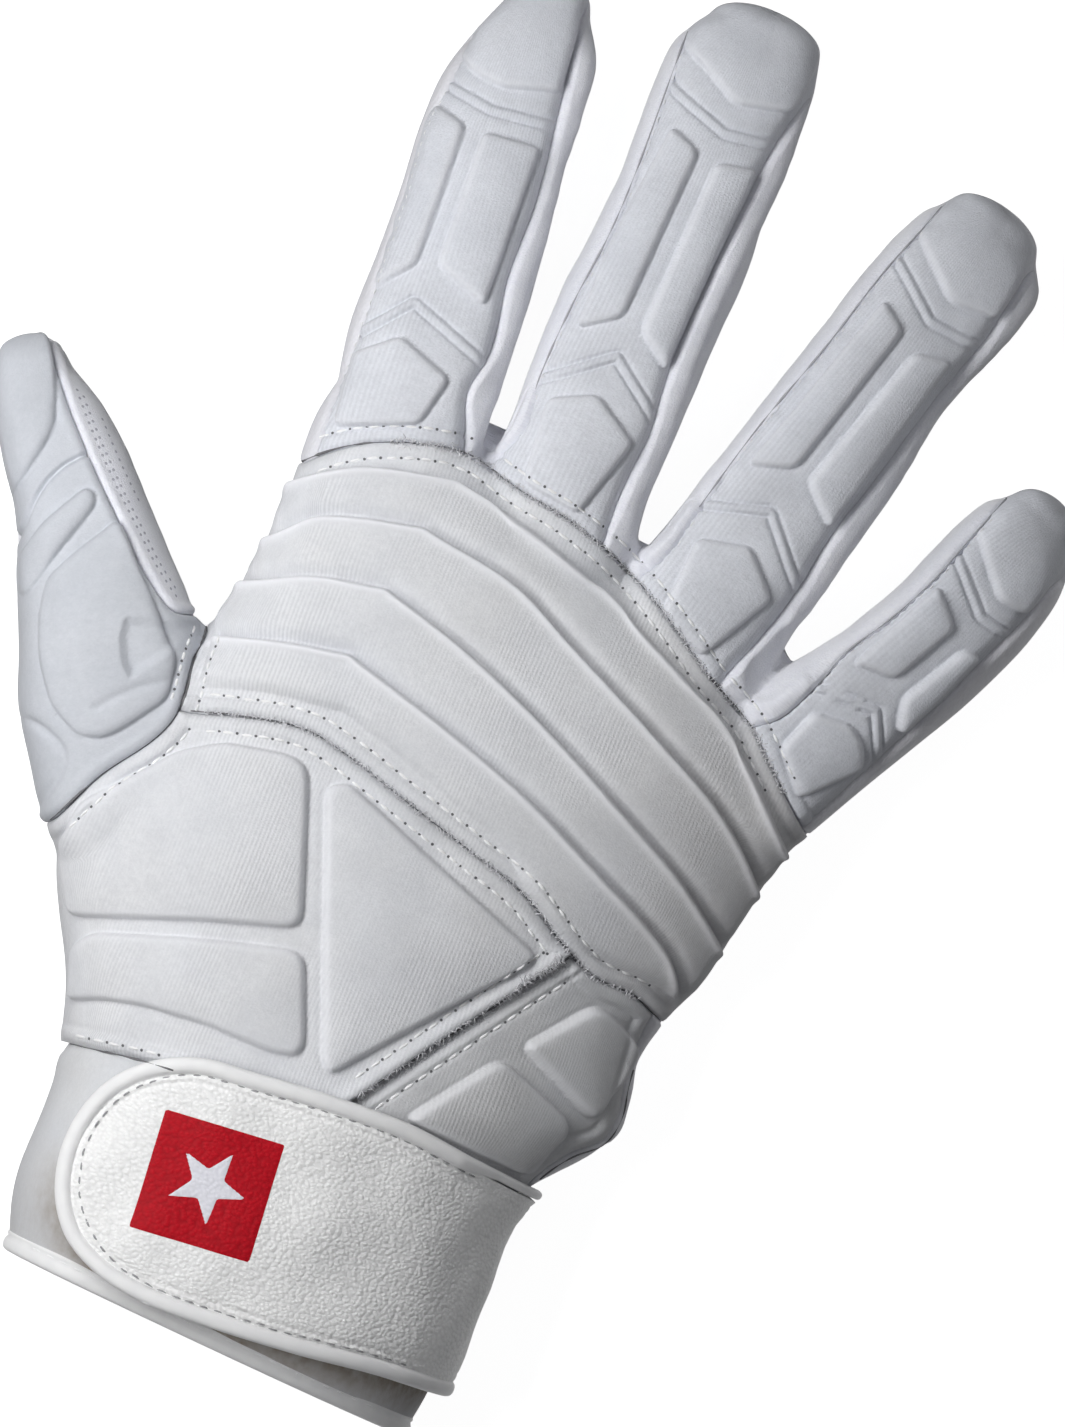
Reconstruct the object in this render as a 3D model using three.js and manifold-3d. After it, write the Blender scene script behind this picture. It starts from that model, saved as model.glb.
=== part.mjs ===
// A right-hand padded lineman football glove, lying palm down on its own filled-out form.
// Millimetres. +Y runs from the wrist to the middle fingertip, +X to the little finger, +Z up
// from the surface that the palm rests on. The origin is under the middle of the whole glove.

import * as THREE from "three";
import { mergeVertices } from "three/addons/utils/BufferGeometryUtils.js";
import Module from "manifold-3d";

const wasm = await Module();
wasm.setup();

// Walls, gaps and heights that everything else is worked out from.
const WALL = 2.2; // cloth and foam of an unpadded stretch
const PAD_RISE = 3; // how far a pad stands above the cloth round it
const HALF_GAP = 0.15; // each piece keeps this much back from a seam
const SIDE_SEAM_Z = 11; // height of the seam between the palm and the pieces above it
const FAR = 200; // beyond the glove in any direction

// The hand from the cuff's open end to the knuckles. Each row is a section across the hand at y:
// its left and right edges, its underside and back, how much lower the little-finger side of the
// back is than the thumb side, and how far the section slants back per millimetre to the right.
const HAND_ROWS = [
  { y: -122.8, left: -33.4, right: 40.5, low: -1.4, high: 37, drop: 2, slant: 0.055 },
  { y: -118, left: -35, right: 42.2, low: -1.4, high: 38.5, drop: 2, slant: 0.05 },
  { y: -84, left: -38, right: 42.4, low: -1.4, high: 40.5, drop: 3, slant: 0 },
  { y: -76, left: -40.8, right: 46.2, low: -1.4, high: 40, drop: 4, slant: 0 },
  { y: -66, left: -45.4, right: 54.6, low: -1.4, high: 39.5, drop: 6, slant: 0 },
  { y: -52, left: -52.2, right: 55.8, low: -1.4, high: 39, drop: 7, slant: 0 },
  { y: -34, left: -50, right: 58.6, low: -1.4, high: 38, drop: 8, slant: 0.02 },
  { y: -18, left: -43.5, right: 62, low: -1, high: 37, drop: 8, slant: 0.06 },
  { y: 8, left: -37.4, right: 66, low: 1.6, high: 34, drop: 8, slant: 0.2 },
  { y: 17, left: -37.4, right: 63, low: 3, high: 32, drop: 7, slant: 0.28 },
  { y: 27, left: -35, right: 57, low: 5, high: 28, drop: 5, slant: 0.34 },
];
const HAND_SQUARENESS = 2.5;
const HAND_SIDES = { outside: 20, inside: 16 }; // flat faces round a section
const OPEN_PAST_END = 8; // how far the inside runs on past the cuff's end, so that it is open

// Each finger has an axis from its root, leaning from +Y, and rows along it: the distance from
// the root, the reach to its left and right, its underside and its back.
const FINGERS = {
  index: {
    root: [-22.6, 33.4],
    lean: -4.2,
    rows: [
      { s: -16, left: 14, right: 17, low: 5.4, high: 31 },
      { s: 4, left: 14.2, right: 14.3, low: 5.2, high: 31 },
      { s: 28, left: 13.8, right: 14, low: 3.4, high: 28.5 },
      { s: 52, left: 13.6, right: 12.3, low: 1.2, high: 25 },
      { s: 62, left: 12, right: 12.4, low: 0.4, high: 23.2 },
      { s: 71, left: 8.4, right: 11.2, low: 0, high: 21 },
      { s: 78, left: 4.4, right: 7.4, low: 1.6, high: 17.6 },
      { s: 82.5, left: 0.6, right: 3.6, low: 5, high: 13 },
    ],
    seams: { left: -12.6, right: 10 },
  },
  middle: {
    root: [6.1, 38.1],
    lean: 1.8,
    rows: [
      { s: -18, left: 17, right: 17, low: 5.2, high: 31 },
      { s: 4, left: 14.4, right: 14.2, low: 5.4, high: 31.5 },
      { s: 28, left: 14.1, right: 13.9, low: 3.4, high: 29 },
      { s: 52, left: 13.1, right: 13.2, low: 1.2, high: 26 },
      { s: 68, left: 13.9, right: 12.3, low: 0.2, high: 23.6 },
      { s: 76, left: 13, right: 11.2, low: 0, high: 21.4 },
      { s: 82, left: 9.2, right: 9.2, low: 1.6, high: 18 },
      { s: 86, left: 4.6, right: 5, low: 5, high: 13.4 },
    ],
    seams: { left: -11, right: 9.8 },
  },
  ring: {
    root: [36.6, 25.7],
    lean: 14.5,
    rows: [
      { s: -16, left: 18, right: 17, low: 4.8, high: 29 },
      { s: 4, left: 15, right: 14.5, low: 5, high: 29.4 },
      { s: 28, left: 13.8, right: 14, low: 3, high: 27.4 },
      { s: 52, left: 13.2, right: 12.3, low: 1, high: 24.8 },
      { s: 68, left: 12.7, right: 13.7, low: 0.2, high: 22.4 },
      { s: 76, left: 10.8, right: 12.4, low: 0.2, high: 20 },
      { s: 82, left: 6.8, right: 5.8, low: 2.6, high: 16.4 },
      { s: 85, left: 3.2, right: 2.4, low: 5.4, high: 12.8 },
    ],
    seams: { left: -11.2, right: 10.6 },
  },
  little: {
    root: [61.2, 6.9],
    lean: 24.2,
    rows: [
      { s: -14, left: 17, right: 8.6, low: 4.4, high: 25.6 },
      { s: 6, left: 15.4, right: 9.8, low: 4.2, high: 26 },
      { s: 16, left: 13.4, right: 10.5, low: 3.2, high: 25.4 },
      { s: 30, left: 11.5, right: 11.7, low: 1.8, high: 24 },
      { s: 44, left: 11.6, right: 10.9, low: 0.4, high: 21.8 },
      { s: 53, left: 10.8, right: 8.4, low: 0, high: 19.6 },
      { s: 59.5, left: 8, right: 5.4, low: 1.6, high: 16.6 },
      { s: 64, left: 3.8, right: 1.6, low: 4.8, high: 12.4 },
    ],
    seams: { left: -8.4, right: 9.2 },
  },
  thumb: {
    root: [-50.8, -24.6],
    lean: -35.4,
    rows: [
      { s: -26, left: 16.6, right: 12, low: 0, high: 34 },
      { s: -8, left: 18.1, right: 15.6, low: 0, high: 35 },
      { s: 8, left: 16.2, right: 15.8, low: 0, high: 34 },
      { s: 22, left: 13.2, right: 13.8, low: 0, high: 32 },
      { s: 36, left: 10.9, right: 11.4, low: 0, high: 29 },
      { s: 48, left: 10.2, right: 8.4, low: 0, high: 26 },
      { s: 56, left: 8.4, right: 4.8, low: 1.4, high: 22.6 },
      { s: 61, left: 5, right: 1, low: 5, high: 18 },
    ],
  },
};
const FINGER_SQUARENESS = 2.3;
const FINGER_SIDES = { outside: 12, inside: 10 };
const SMALLEST_REACH = 0.8; // no section shrinks to less than this
// How far the cutting outlines run along and beside a finger: past its tip, back behind its root,
// back to where a strip between two fingers starts, and out past its side.
const PAST_TIP = 95;
const BEHIND_ROOT = -30;
const STRIP_START = -12;
const PAST_SIDE = 30;
const TURN_UP_START = { index: -2, little: -4 }; // where the palm turns up over the outer fingers

// Seams in plan, each a few hand-chosen corners.
const KNUCKLE_SEAM = [
  [-48, 8],
  [-38, 22],
  [-31, 28],
  [-12, 34.5],
  [9, 30.3],
  [31, 21],
  [50.5, 9.6],
  [61, 0.3],
  [78, -12],
];
const MIDHAND_SEAM = [
  [-39.3, -23.7],
  [-17.1, -19.3],
  [14.8, -28],
  [36.8, -37.6],
  [50.2, -40.6],
  [75, -47],
];
const THUMB_CROTCH = [-43.2, -7];
const THUMB_SEAM = [
  [-40.2, -24.4],
  [-49.6, -40.7],
  [-78, -80],
];
const SLANT_SEAM = [
  [36.8, -37.6],
  [8, -79.6],
];
const CUFF_SEAM = [
  [-80, -84],
  [-37, -84],
  [8, -79.6],
  [80, -79],
];
const FLAP_EDGE = [
  [53.4, -44.6],
  [53.4, -56],
  [49, -67],
  [45, -79.4],
];
// The thumb's back ends at its gusset along this line, in the thumb's own s and t.
const GUSSET_SEAM = [
  { s: 72, t: 2 },
  { s: 50, t: 2.8 },
  { s: 34, t: 5.5 },
  { s: 17, t: 9.7 },
];

// Pads on a finger, as corners in the finger's own s and t. The rows give each finger's heights
// along s where the pads start and stop.
const PAD_ROWS = {
  index: { knuckle: [-2, 15], long: [23, 54], tip: 62, top: 79, half: 9, shift: -2 },
  middle: { knuckle: [-5, 13], long: [24, 61], tip: 70, top: 83, half: 9, shift: -0.6 },
  ring: { knuckle: [-6, 11], long: [24, 59], tip: 68, top: 81, half: 9, shift: 0 },
  little: { knuckle: [-3, 10], long: [17, 36], tip: 45, top: 61, half: 7.4, shift: 1 },
};
const PAD_SLANT = 4.5; // how far a pad's end reaches further at the finger's middle
const PAD_TAPER = 1; // how much narrower a pad is on one side at its ends
const PAD_CORNER = 3; // how far a pad's corners are cut back along the finger
const KNUCKLE_CUT = 5; // how much the knuckle pad's foot is cut back on the right
const CHANNEL = 1.5; // half the channel between the two long pads

// Four bands across the knuckles, each between an upper and a lower line.
const KNUCKLE_BANDS = [
  [
    ...[[-36, 20.4], [-28, 25.4], [-13, 30], [4, 26.7], [27, 18], [64, -6]],
    ...[[62, -13], [16, 12.6], [-12, 21.5], [-36, 12]],
  ],
  [
    ...[[-36, 8.4], [-14, 18.8], [6, 14.8], [60.4, -15.6]],
    ...[[58.6, -25.4], [15, -0.6], [-15.5, 9.8], [-36, 3]],
  ],
  [
    ...[[-38.4, -0.4], [-15.5, 6.8], [0.6, 2.2], [58, -28]],
    ...[[55.4, -36.6], [19.6, -14.2], [-17, -2.8], [-40.2, -8.6]],
  ],
  [
    ...[[-40.4, -11.8], [-17.5, -5.8], [1.4, -11], [53.6, -38]],
    ...[[43, -37.2], [6, -21.1], [-14.6, -14.5], [-37.6, -19.3]],
  ],
];
const HAND_PADS = [
  [
    ...[[-50.4, -52], [-50.2, -44.8], [-38.2, -31], [-31.4, -26.4], [-20, -24.1]],
    ...[[-15.5, -27], [-7.9, -49.3], [-9, -51.3], [-42.9, -63.6]],
  ],
  [
    ...[[-41.4, -67], [-39.6, -65], [-7.7, -54.6], [-5, -55.4]],
    ...[[0.5, -69], [-1.4, -72], [-27.3, -72.9], [-39, -77]],
  ],
  [[-12.2, -27.6], [3.9, -70], [30.2, -39.9]],
];
const SIDE_PADS = [
  [[34.7, -55.4], [43.4, -44.6], [51.6, -47.4], [50.4, -60]],
  [[20.7, -73.4], [31.7, -59.2], [47, -64.6], [43.2, -75.4]],
];
// The same on the thumb, in its own s and t.
const THUMB_PADS = [
  [
    { s: 37.8, t: -10.4 },
    { s: 47.6, t: 0 },
    { s: 58, t: 1 },
    { s: 58, t: -9 },
  ],
  [
    { s: 22.6, t: -10.4 },
    { s: 31, t: -9.4 },
    { s: 34.4, t: 2.8 },
    { s: 31.6, t: 3.2 },
  ],
  [
    { s: 17.7, t: -11 },
    { s: 27.4, t: 5.4 },
    { s: 9.6, t: 12 },
    { s: 0.6, t: 8 },
    { s: -5.4, t: 2 },
    { s: -6.4, t: -9 },
    { s: 4, t: -14.4 },
  ],
];

// The wrist strap, in plan. Its round free end is at the thumb side, and its other end goes round
// the little-finger side of the cuff.
const STRAP_TOP = [
  [60, -76.8],
  [45, -76.6],
  [20.7, -74.6],
  [-5.5, -76.5],
];
const STRAP_END = { x: -8.6, y: -98, reachX: 21.8, reachY: 20.8, steps: 10 };
const STRAP_BOTTOM = [
  [1.5, -118.9],
  [32.8, -116.4],
  [60, -116],
];
const STRAP_THICK = 3; // leather over the closure's hook side
const STRAP_LOW_Z = 7; // the strap's root is sewn to the cuff's side at this height
const BINDING_WIDTH = 2.6;
const BINDING_THICK = 4.2;
const LAYER_GAP = 0.3;
const PATCH = { x: -6.2, y: -97.8, side: 20.8, turn: 4, thick: 0.7 };

const HEM_TOP_Y = -119.6;
const HEM_RISE = 0.9; // the hem's binding stands this much proud of the cuff, outside and inside

const WHITE_CLOTH = { color: 0xe6e6e6, roughness: 0.9, metalness: 0 };
const PALE_CLOTH = { color: 0xe2e3ea, roughness: 0.92, metalness: 0 };
const WHITE_LEATHER = { color: 0xeeeeec, roughness: 0.55, metalness: 0 };
const RED_PRINT = { color: 0xb5121f, roughness: 0.5, metalness: 0 };

// A closed geometry as a solid that can be cut and joined.
function solidOf(geometry) {
  const bare = geometry.clone();
  bare.deleteAttribute("normal");
  bare.deleteAttribute("uv");
  const merged = mergeVertices(bare, 1e-4);
  return new wasm.Manifold(
    new wasm.Mesh({
      numProp: 3,
      vertProperties: new Float32Array(merged.attributes.position.array),
      triVerts: new Uint32Array(merged.index.array),
    }),
  );
}

// The largest body of a cut, without the slivers that a cut can leave beside it.
function largest(solid) {
  return solid.decompose().reduce((a, b) => (a.volume() > b.volume() ? a : b));
}

// A named mesh of a solid.
function piece(name, solid, finish) {
  const mesh = largest(solid).getMesh();
  const points = new Float32Array(mesh.numVert * 3);
  for (let i = 0; i < mesh.numVert; i += 1) {
    points.set(mesh.vertProperties.subarray(i * mesh.numProp, i * mesh.numProp + 3), i * 3);
  }
  const geometry = new THREE.BufferGeometry();
  geometry.setAttribute("position", new THREE.BufferAttribute(points, 3));
  geometry.setIndex(new THREE.BufferAttribute(mesh.triVerts, 1));
  geometry.computeVertexNormals();
  const made = new THREE.Mesh(geometry, new THREE.MeshStandardMaterial(finish));
  made.name = name;
  return made;
}

function box(x0, x1, y0, y1, z0, z1) {
  const geometry = new THREE.BoxGeometry(x1 - x0, y1 - y0, z1 - z0);
  geometry.translate((x0 + x1) / 2, (y0 + y1) / 2, (z0 + z1) / 2);
  return solidOf(geometry);
}

// An upright prism over an outline in plan, from z0 to z1.
function prism(outline, z0 = -FAR, z1 = FAR) {
  const shape = new THREE.Shape(outline.map(([x, y]) => new THREE.Vector2(x, y)));
  const geometry = new THREE.ExtrudeGeometry(shape, { depth: z1 - z0, bevelEnabled: false });
  geometry.translate(0, 0, z0);
  return solidOf(geometry);
}

// An outline moved inwards by a distance, or outwards where it is negative.
function inset(outline, distance) {
  const area = outline.reduce((sum, [x, y], i) => {
    const [nextX, nextY] = outline[(i + 1) % outline.length];
    return sum + x * nextY - nextX * y;
  }, 0);
  const side = area > 0 ? distance : -distance;
  return outline.map(([x, y], i) => {
    const [beforeX, beforeY] = outline[(i + outline.length - 1) % outline.length];
    const [afterX, afterY] = outline[(i + 1) % outline.length];
    const into = new THREE.Vector2(x - beforeX, y - beforeY).normalize();
    const out = new THREE.Vector2(afterX - x, afterY - y).normalize();
    const inward = new THREE.Vector2(-into.y - out.y, into.x + out.x).normalize();
    // A corner moves further than a straight stretch does, but never far from a very sharp one.
    const squareness = Math.max(0.35, -into.y * inward.x + into.x * inward.y);
    const reach = side / squareness;
    return [x + inward.x * reach, y + inward.y * reach];
  });
}

// A closed tube through rings of points, each ring with the same number of points.
function loft(rings) {
  const sides = rings[0].length;
  const points = rings.flat(2);
  const faces = [];
  for (let r = 0; r + 1 < rings.length; r += 1) {
    for (let i = 0; i < sides; i += 1) {
      const a = r * sides + i;
      const b = r * sides + ((i + 1) % sides);
      faces.push(a, b, b + sides, a, b + sides, a + sides);
    }
  }
  const last = (rings.length - 1) * sides;
  for (let i = 1; i + 1 < sides; i += 1) {
    faces.push(0, i + 1, i);
    faces.push(last, last + i, last + i + 1);
  }
  const geometry = new THREE.BufferGeometry();
  geometry.setAttribute("position", new THREE.BufferAttribute(new Float32Array(points), 3));
  geometry.setIndex(faces);
  const solid = solidOf(geometry);
  if (solid.volume() > 0) {
    return solid;
  }
  geometry.setIndex(faces.toReversed());
  return solidOf(geometry);
}

// One point of a rounded section: u from 0 to 1 round it, reaches a and b, and its squareness.
function roundedPoint(u, a, b, squareness) {
  const angle = u * 2 * Math.PI;
  const power = 2 / squareness;
  const across = Math.sign(Math.cos(angle)) * Math.abs(Math.cos(angle)) ** power;
  const up = Math.sign(Math.sin(angle)) * Math.abs(Math.sin(angle)) ** power;
  return [a * across, b * up];
}

// Every second row of a form's table, with its last: enough for the inside, which is plainer.
function sparse(rows) {
  return rows.filter((row, r) => r % 2 === 0 || r === rows.length - 1);
}

// The hand's form, grown by a distance, or shrunk where it is negative.
function handForm(grow, allRows = HAND_ROWS) {
  const sides = grow < 0 ? HAND_SIDES.inside : HAND_SIDES.outside;
  const rows = grow < 0 ? sparse(allRows) : allRows;
  return loft(
    rows.map((row) => {
      const middle = (row.left + row.right) / 2;
      const half = (row.right - row.left) / 2 + grow;
      const centreZ = (row.low + row.high) / 2;
      const halfZ = (row.high - row.low) / 2 + grow;
      return Array.from({ length: sides }, (_, i) => {
        const [across, up] = roundedPoint((i + 0.5) / sides, half, halfZ, HAND_SQUARENESS);
        const lean = (row.drop / 2) * (across / half) * ((up + halfZ) / (2 * halfZ));
        const z = Math.max(centreZ + up - lean, -Math.min(0, grow));
        return [middle + across, row.y - row.slant * across, z];
      });
    }),
  );
}

// A point on a finger, from its own s along and t across, at height z.
function fingerPoint(finger, s, t, z) {
  const lean = THREE.MathUtils.degToRad(finger.lean);
  const x = finger.root[0] + s * Math.sin(lean) + t * Math.cos(lean);
  const y = finger.root[1] + s * Math.cos(lean) - t * Math.sin(lean);
  return z === undefined ? [x, y] : [x, y, z];
}

function fingerForm(finger, grow) {
  const sides = grow < 0 ? FINGER_SIDES.inside : FINGER_SIDES.outside;
  const rows = grow < 0 ? sparse(finger.rows) : finger.rows;
  return loft(
    rows.map((row) => {
      const middle = (row.right - row.left) / 2;
      const half = Math.max(SMALLEST_REACH, (row.right + row.left) / 2 + grow);
      const centreZ = (row.low + row.high) / 2;
      const halfZ = Math.max(SMALLEST_REACH, (row.high - row.low) / 2 + grow);
      const s = row.s + (row === rows.at(-1) ? grow : 0);
      return Array.from({ length: sides }, (_, i) => {
        const [across, up] = roundedPoint((i + 0.5) / sides, half, halfZ, FINGER_SQUARENESS);
        const z = Math.max(centreZ + up, -Math.min(0, grow));
        return fingerPoint(finger, s, middle + across, z);
      });
    }),
  );
}

// The whole glove's filled form, grown or shrunk.
function gloveForm(grow, rows = HAND_ROWS) {
  return Object.values(FINGERS).reduce(
    (whole, finger) => whole.add(fingerForm(finger, grow)),
    handForm(grow, rows),
  );
}

function openRows(rows) {
  return [{ ...rows[0], y: rows[0].y - OPEN_PAST_END }, ...rows];
}

const outer = gloveForm(0);
const inner = gloveForm(-WALL, openRows(HAND_ROWS));
const shell = outer.subtract(inner);
const raisedShell = gloveForm(PAD_RISE).subtract(inner);
const above = box(-FAR, FAR, -FAR, FAR, SIDE_SEAM_Z + HALF_GAP, FAR);
const below = box(-FAR, FAR, -FAR, FAR, -FAR, SIDE_SEAM_Z - HALF_GAP);

// Regions in plan. Each is closed well outside the glove, where its corners don't matter.
const fingerZone = [
  ...KNUCKLE_SEAM,
  [FAR, KNUCKLE_SEAM.at(-1)[1]],
  [FAR, FAR],
  [KNUCKLE_SEAM[0][0], FAR],
];
const handZone = [...CUFF_SEAM, [FAR, FAR], [-FAR, FAR]];
const cuffZone = [...CUFF_SEAM, [FAR, -FAR], [-FAR, -FAR]];

function alongFinger(finger, offset, from, to) {
  return [fingerPoint(finger, from, offset), fingerPoint(finger, to, offset)];
}

// The palm's leather turns up over the outer sides of the index and little fingers, and over the
// little-finger edge of the hand.
const indexTurnUp = [
  ...alongFinger(FINGERS.index, FINGERS.index.seams.left, TURN_UP_START.index, PAST_TIP),
  ...alongFinger(FINGERS.index, -PAST_SIDE, PAST_TIP, TURN_UP_START.index),
];
const littleTurnUp = [
  ...alongFinger(FINGERS.little, FINGERS.little.seams.right, TURN_UP_START.little, PAST_TIP),
  ...alongFinger(FINGERS.little, PAST_SIDE, PAST_TIP, TURN_UP_START.little),
];
const flapTurnUp = [...FLAP_EDGE, [FAR, FLAP_EDGE.at(-1)[1]], [FAR, FLAP_EDGE[0][1]]];
const turnUps = [indexTurnUp, littleTurnUp, flapTurnUp];

function withoutTurnUps(solid) {
  return turnUps.reduce((rest, outline) => rest.subtract(prism(inset(outline, -HALF_GAP))), solid);
}

// A panel over a region, with pads raised on it.
function paddedPanel(outline, pads, zone) {
  const area = withoutTurnUps(prism(inset(outline, HALF_GAP)).intersect(above)).intersect(
    prism(inset(zone, HALF_GAP)),
  );
  const raised = pads.map((pad) => raisedShell.intersect(prism(pad)));
  return raised.reduce((whole, pad) => whole.add(pad), shell).intersect(area);
}

function fingerPads(name) {
  const finger = FINGERS[name];
  const { knuckle, long, tip, top, half, shift } = PAD_ROWS[name];
  const [k0, k1] = knuckle;
  const [l0, l1] = long;
  const waist = (k0 + k1 + PAD_SLANT) / 2;
  const left = shift - half;
  const right = shift + half;
  const outlines = [
    [
      [k0, left + PAD_TAPER],
      [waist, left],
      [k1 - PAD_CORNER, left + PAD_TAPER],
      [k1, shift],
      [waist, right - PAD_TAPER],
      [k0, right - KNUCKLE_CUT],
    ],
    [
      [l0, left],
      [l0 + PAD_SLANT, shift - CHANNEL],
      [l1 - PAD_SLANT / 2, shift - CHANNEL],
      [l1, left],
    ],
    [
      [l0, right],
      [l0 + PAD_SLANT, shift + CHANNEL],
      [l1 - PAD_SLANT, shift + CHANNEL],
      [l1, right],
    ],
    [
      [tip + PAD_CORNER, left],
      [tip, shift - PAD_CORNER],
      [tip, shift + PAD_CORNER],
      [tip + PAD_CORNER, right],
      [top, right - PAD_TAPER],
      [top, left + PAD_TAPER],
    ],
  ];
  return outlines.map((outline) => outline.map(([s, t]) => fingerPoint(finger, s, t)));
}

function fingerBack(name) {
  const finger = FINGERS[name];
  const outline = [
    ...alongFinger(finger, finger.seams.left, BEHIND_ROOT, PAST_TIP),
    ...alongFinger(finger, finger.seams.right, PAST_TIP, BEHIND_ROOT),
  ];
  const solid = paddedPanel(outline, fingerPads(name), fingerZone);
  return piece(`${name}_back`, solid, WHITE_CLOTH);
}

// The strip between two fingers, from the back seam of one to the back seam of the next.
function fourchette(leftName, rightName) {
  const left = FINGERS[leftName];
  const right = FINGERS[rightName];
  const outline = [
    ...alongFinger(left, left.seams.right, STRIP_START, PAST_TIP),
    ...alongFinger(right, right.seams.left, PAST_TIP, STRIP_START),
  ];
  const beyondKnuckles = above.intersect(prism(inset(fingerZone, HALF_GAP)));
  const area = prism(inset(outline, HALF_GAP)).intersect(beyondKnuckles);
  return piece(`fourchette_${leftName}_${rightName}`, shell.intersect(area), PALE_CLOTH);
}

function palm() {
  const turned = turnUps.map((outline) => prism(inset(outline, HALF_GAP)));
  const area = turned.reduce((whole, part) => whole.add(part), below);
  const beyondCuff = prism(inset(handZone, HALF_GAP));
  return piece("palm", shell.intersect(area).intersect(beyondCuff), WHITE_LEATHER);
}

const gussetLine = GUSSET_SEAM.map(({ s, t }) => fingerPoint(FINGERS.thumb, s, t));

function thumbBack() {
  const besideSeam = [-FAR, THUMB_SEAM.at(-1)[1]];
  const outline = [...gussetLine, THUMB_CROTCH, ...THUMB_SEAM, besideSeam, [-FAR, gussetLine[0][1]]];
  const pads = THUMB_PADS.map((pad) => pad.map(({ s, t }) => fingerPoint(FINGERS.thumb, s, t)));
  return piece("thumb_back", paddedPanel(outline, pads, handZone), WHITE_CLOTH);
}

function thumbGusset() {
  const outline = [...gussetLine, THUMB_CROTCH, [THUMB_CROTCH[0], FAR]];
  const area = prism(inset(outline, HALF_GAP)).intersect(above);
  return piece("thumb_gusset", shell.intersect(area), PALE_CLOTH);
}

function knucklePanel() {
  const outline = [
    [THUMB_CROTCH[0], KNUCKLE_SEAM[0][1]],
    ...KNUCKLE_SEAM.slice(1),
    ...MIDHAND_SEAM.toReversed(),
    THUMB_CROTCH,
  ];
  return piece("knuckle_panel", paddedPanel(outline, KNUCKLE_BANDS, handZone), WHITE_CLOTH);
}

function handBackPanel() {
  const outline = [
    ...MIDHAND_SEAM.slice(0, 4),
    SLANT_SEAM[1],
    ...CUFF_SEAM.slice(0, 2).toReversed(),
    ...THUMB_SEAM.toReversed(),
  ];
  return piece("hand_back_panel", paddedPanel(outline, HAND_PADS, handZone), WHITE_CLOTH);
}

function outerSidePanel() {
  const outline = [...SLANT_SEAM.toReversed(), ...MIDHAND_SEAM.slice(4), CUFF_SEAM.at(-1)];
  return piece("outer_side_panel", paddedPanel(outline, SIDE_PADS, handZone), WHITE_CLOTH);
}

// A slice of the hand from end to end between two forms, before it is cut to an outline.
function wrap(innerGrow, outerGrow) {
  return handForm(outerGrow).subtract(handForm(innerGrow, openRows(HAND_ROWS)));
}

// A zone of the cuff on the hem's side of its binding, slanted as the hem is.
function hemZone(offset) {
  const slant = HAND_ROWS[0].slant;
  const y = HEM_TOP_Y + offset;
  return prism([
    [-FAR, y + FAR * slant],
    [FAR, y - FAR * slant],
    [FAR, -FAR],
    [-FAR, -FAR],
  ]);
}

function cuff() {
  const area = prism(inset(cuffZone, HALF_GAP)).subtract(hemZone(HALF_GAP));
  return piece("cuff", shell.intersect(area), WHITE_CLOTH);
}

function cuffHem() {
  const floor = box(-FAR, FAR, -FAR, FAR, 0, FAR);
  const ring = wrap(-WALL - HEM_RISE, HEM_RISE).intersect(hemZone(-HALF_GAP)).intersect(floor);
  return piece("cuff_hem", ring, WHITE_LEATHER);
}

function strapOutline() {
  const { x, y, reachX, reachY, steps } = STRAP_END;
  const end = Array.from({ length: steps + 1 }, (_, i) => {
    const angle = Math.PI / 2 + (i / steps) * Math.PI;
    return [x + reachX * Math.cos(angle), y + reachY * Math.sin(angle)];
  });
  return [...STRAP_TOP, ...end, ...STRAP_BOTTOM];
}

const strapSide = box(-FAR, FAR, -FAR, FAR, STRAP_LOW_Z, FAR);

function strap() {
  const area = prism(inset(strapOutline(), BINDING_WIDTH + LAYER_GAP)).intersect(strapSide);
  const layer = wrap(LAYER_GAP, LAYER_GAP + STRAP_THICK).intersect(area);
  return piece("wrist_strap", layer, WHITE_LEATHER);
}

function strapBinding() {
  const whole = strapOutline();
  const area = prism(whole).subtract(prism(inset(whole, BINDING_WIDTH))).intersect(strapSide);
  const onSides = box(-FAR, STRAP_TOP[0][0] - BINDING_WIDTH, -FAR, FAR, -FAR, FAR);
  const layer = wrap(LAYER_GAP, BINDING_THICK).intersect(area).intersect(onSides);
  return piece("strap_binding", layer, WHITE_LEATHER);
}

function strapPatch() {
  const turn = THREE.MathUtils.degToRad(PATCH.turn);
  const half = PATCH.side / 2;
  const corners = [[-half, -half], [half, -half], [half, half], [-half, half]].map(([a, b]) => [
    PATCH.x + a * Math.cos(turn) - b * Math.sin(turn),
    PATCH.y + a * Math.sin(turn) + b * Math.cos(turn),
  ]);
  const base = 2 * LAYER_GAP + STRAP_THICK;
  const layer = wrap(base, base + PATCH.thick).intersect(prism(corners)).intersect(strapSide);
  return piece("strap_patch", layer, RED_PRINT);
}

const glove = new THREE.Group();
glove.add(
  palm(),
  fingerBack("index"),
  fingerBack("middle"),
  fingerBack("ring"),
  fingerBack("little"),
  thumbBack(),
  thumbGusset(),
  fourchette("index", "middle"),
  fourchette("middle", "ring"),
  fourchette("ring", "little"),
  knucklePanel(),
  handBackPanel(),
  outerSidePanel(),
  cuff(),
  cuffHem(),
  strap(),
  strapBinding(),
  strapPatch(),
);

export default glove;
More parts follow.
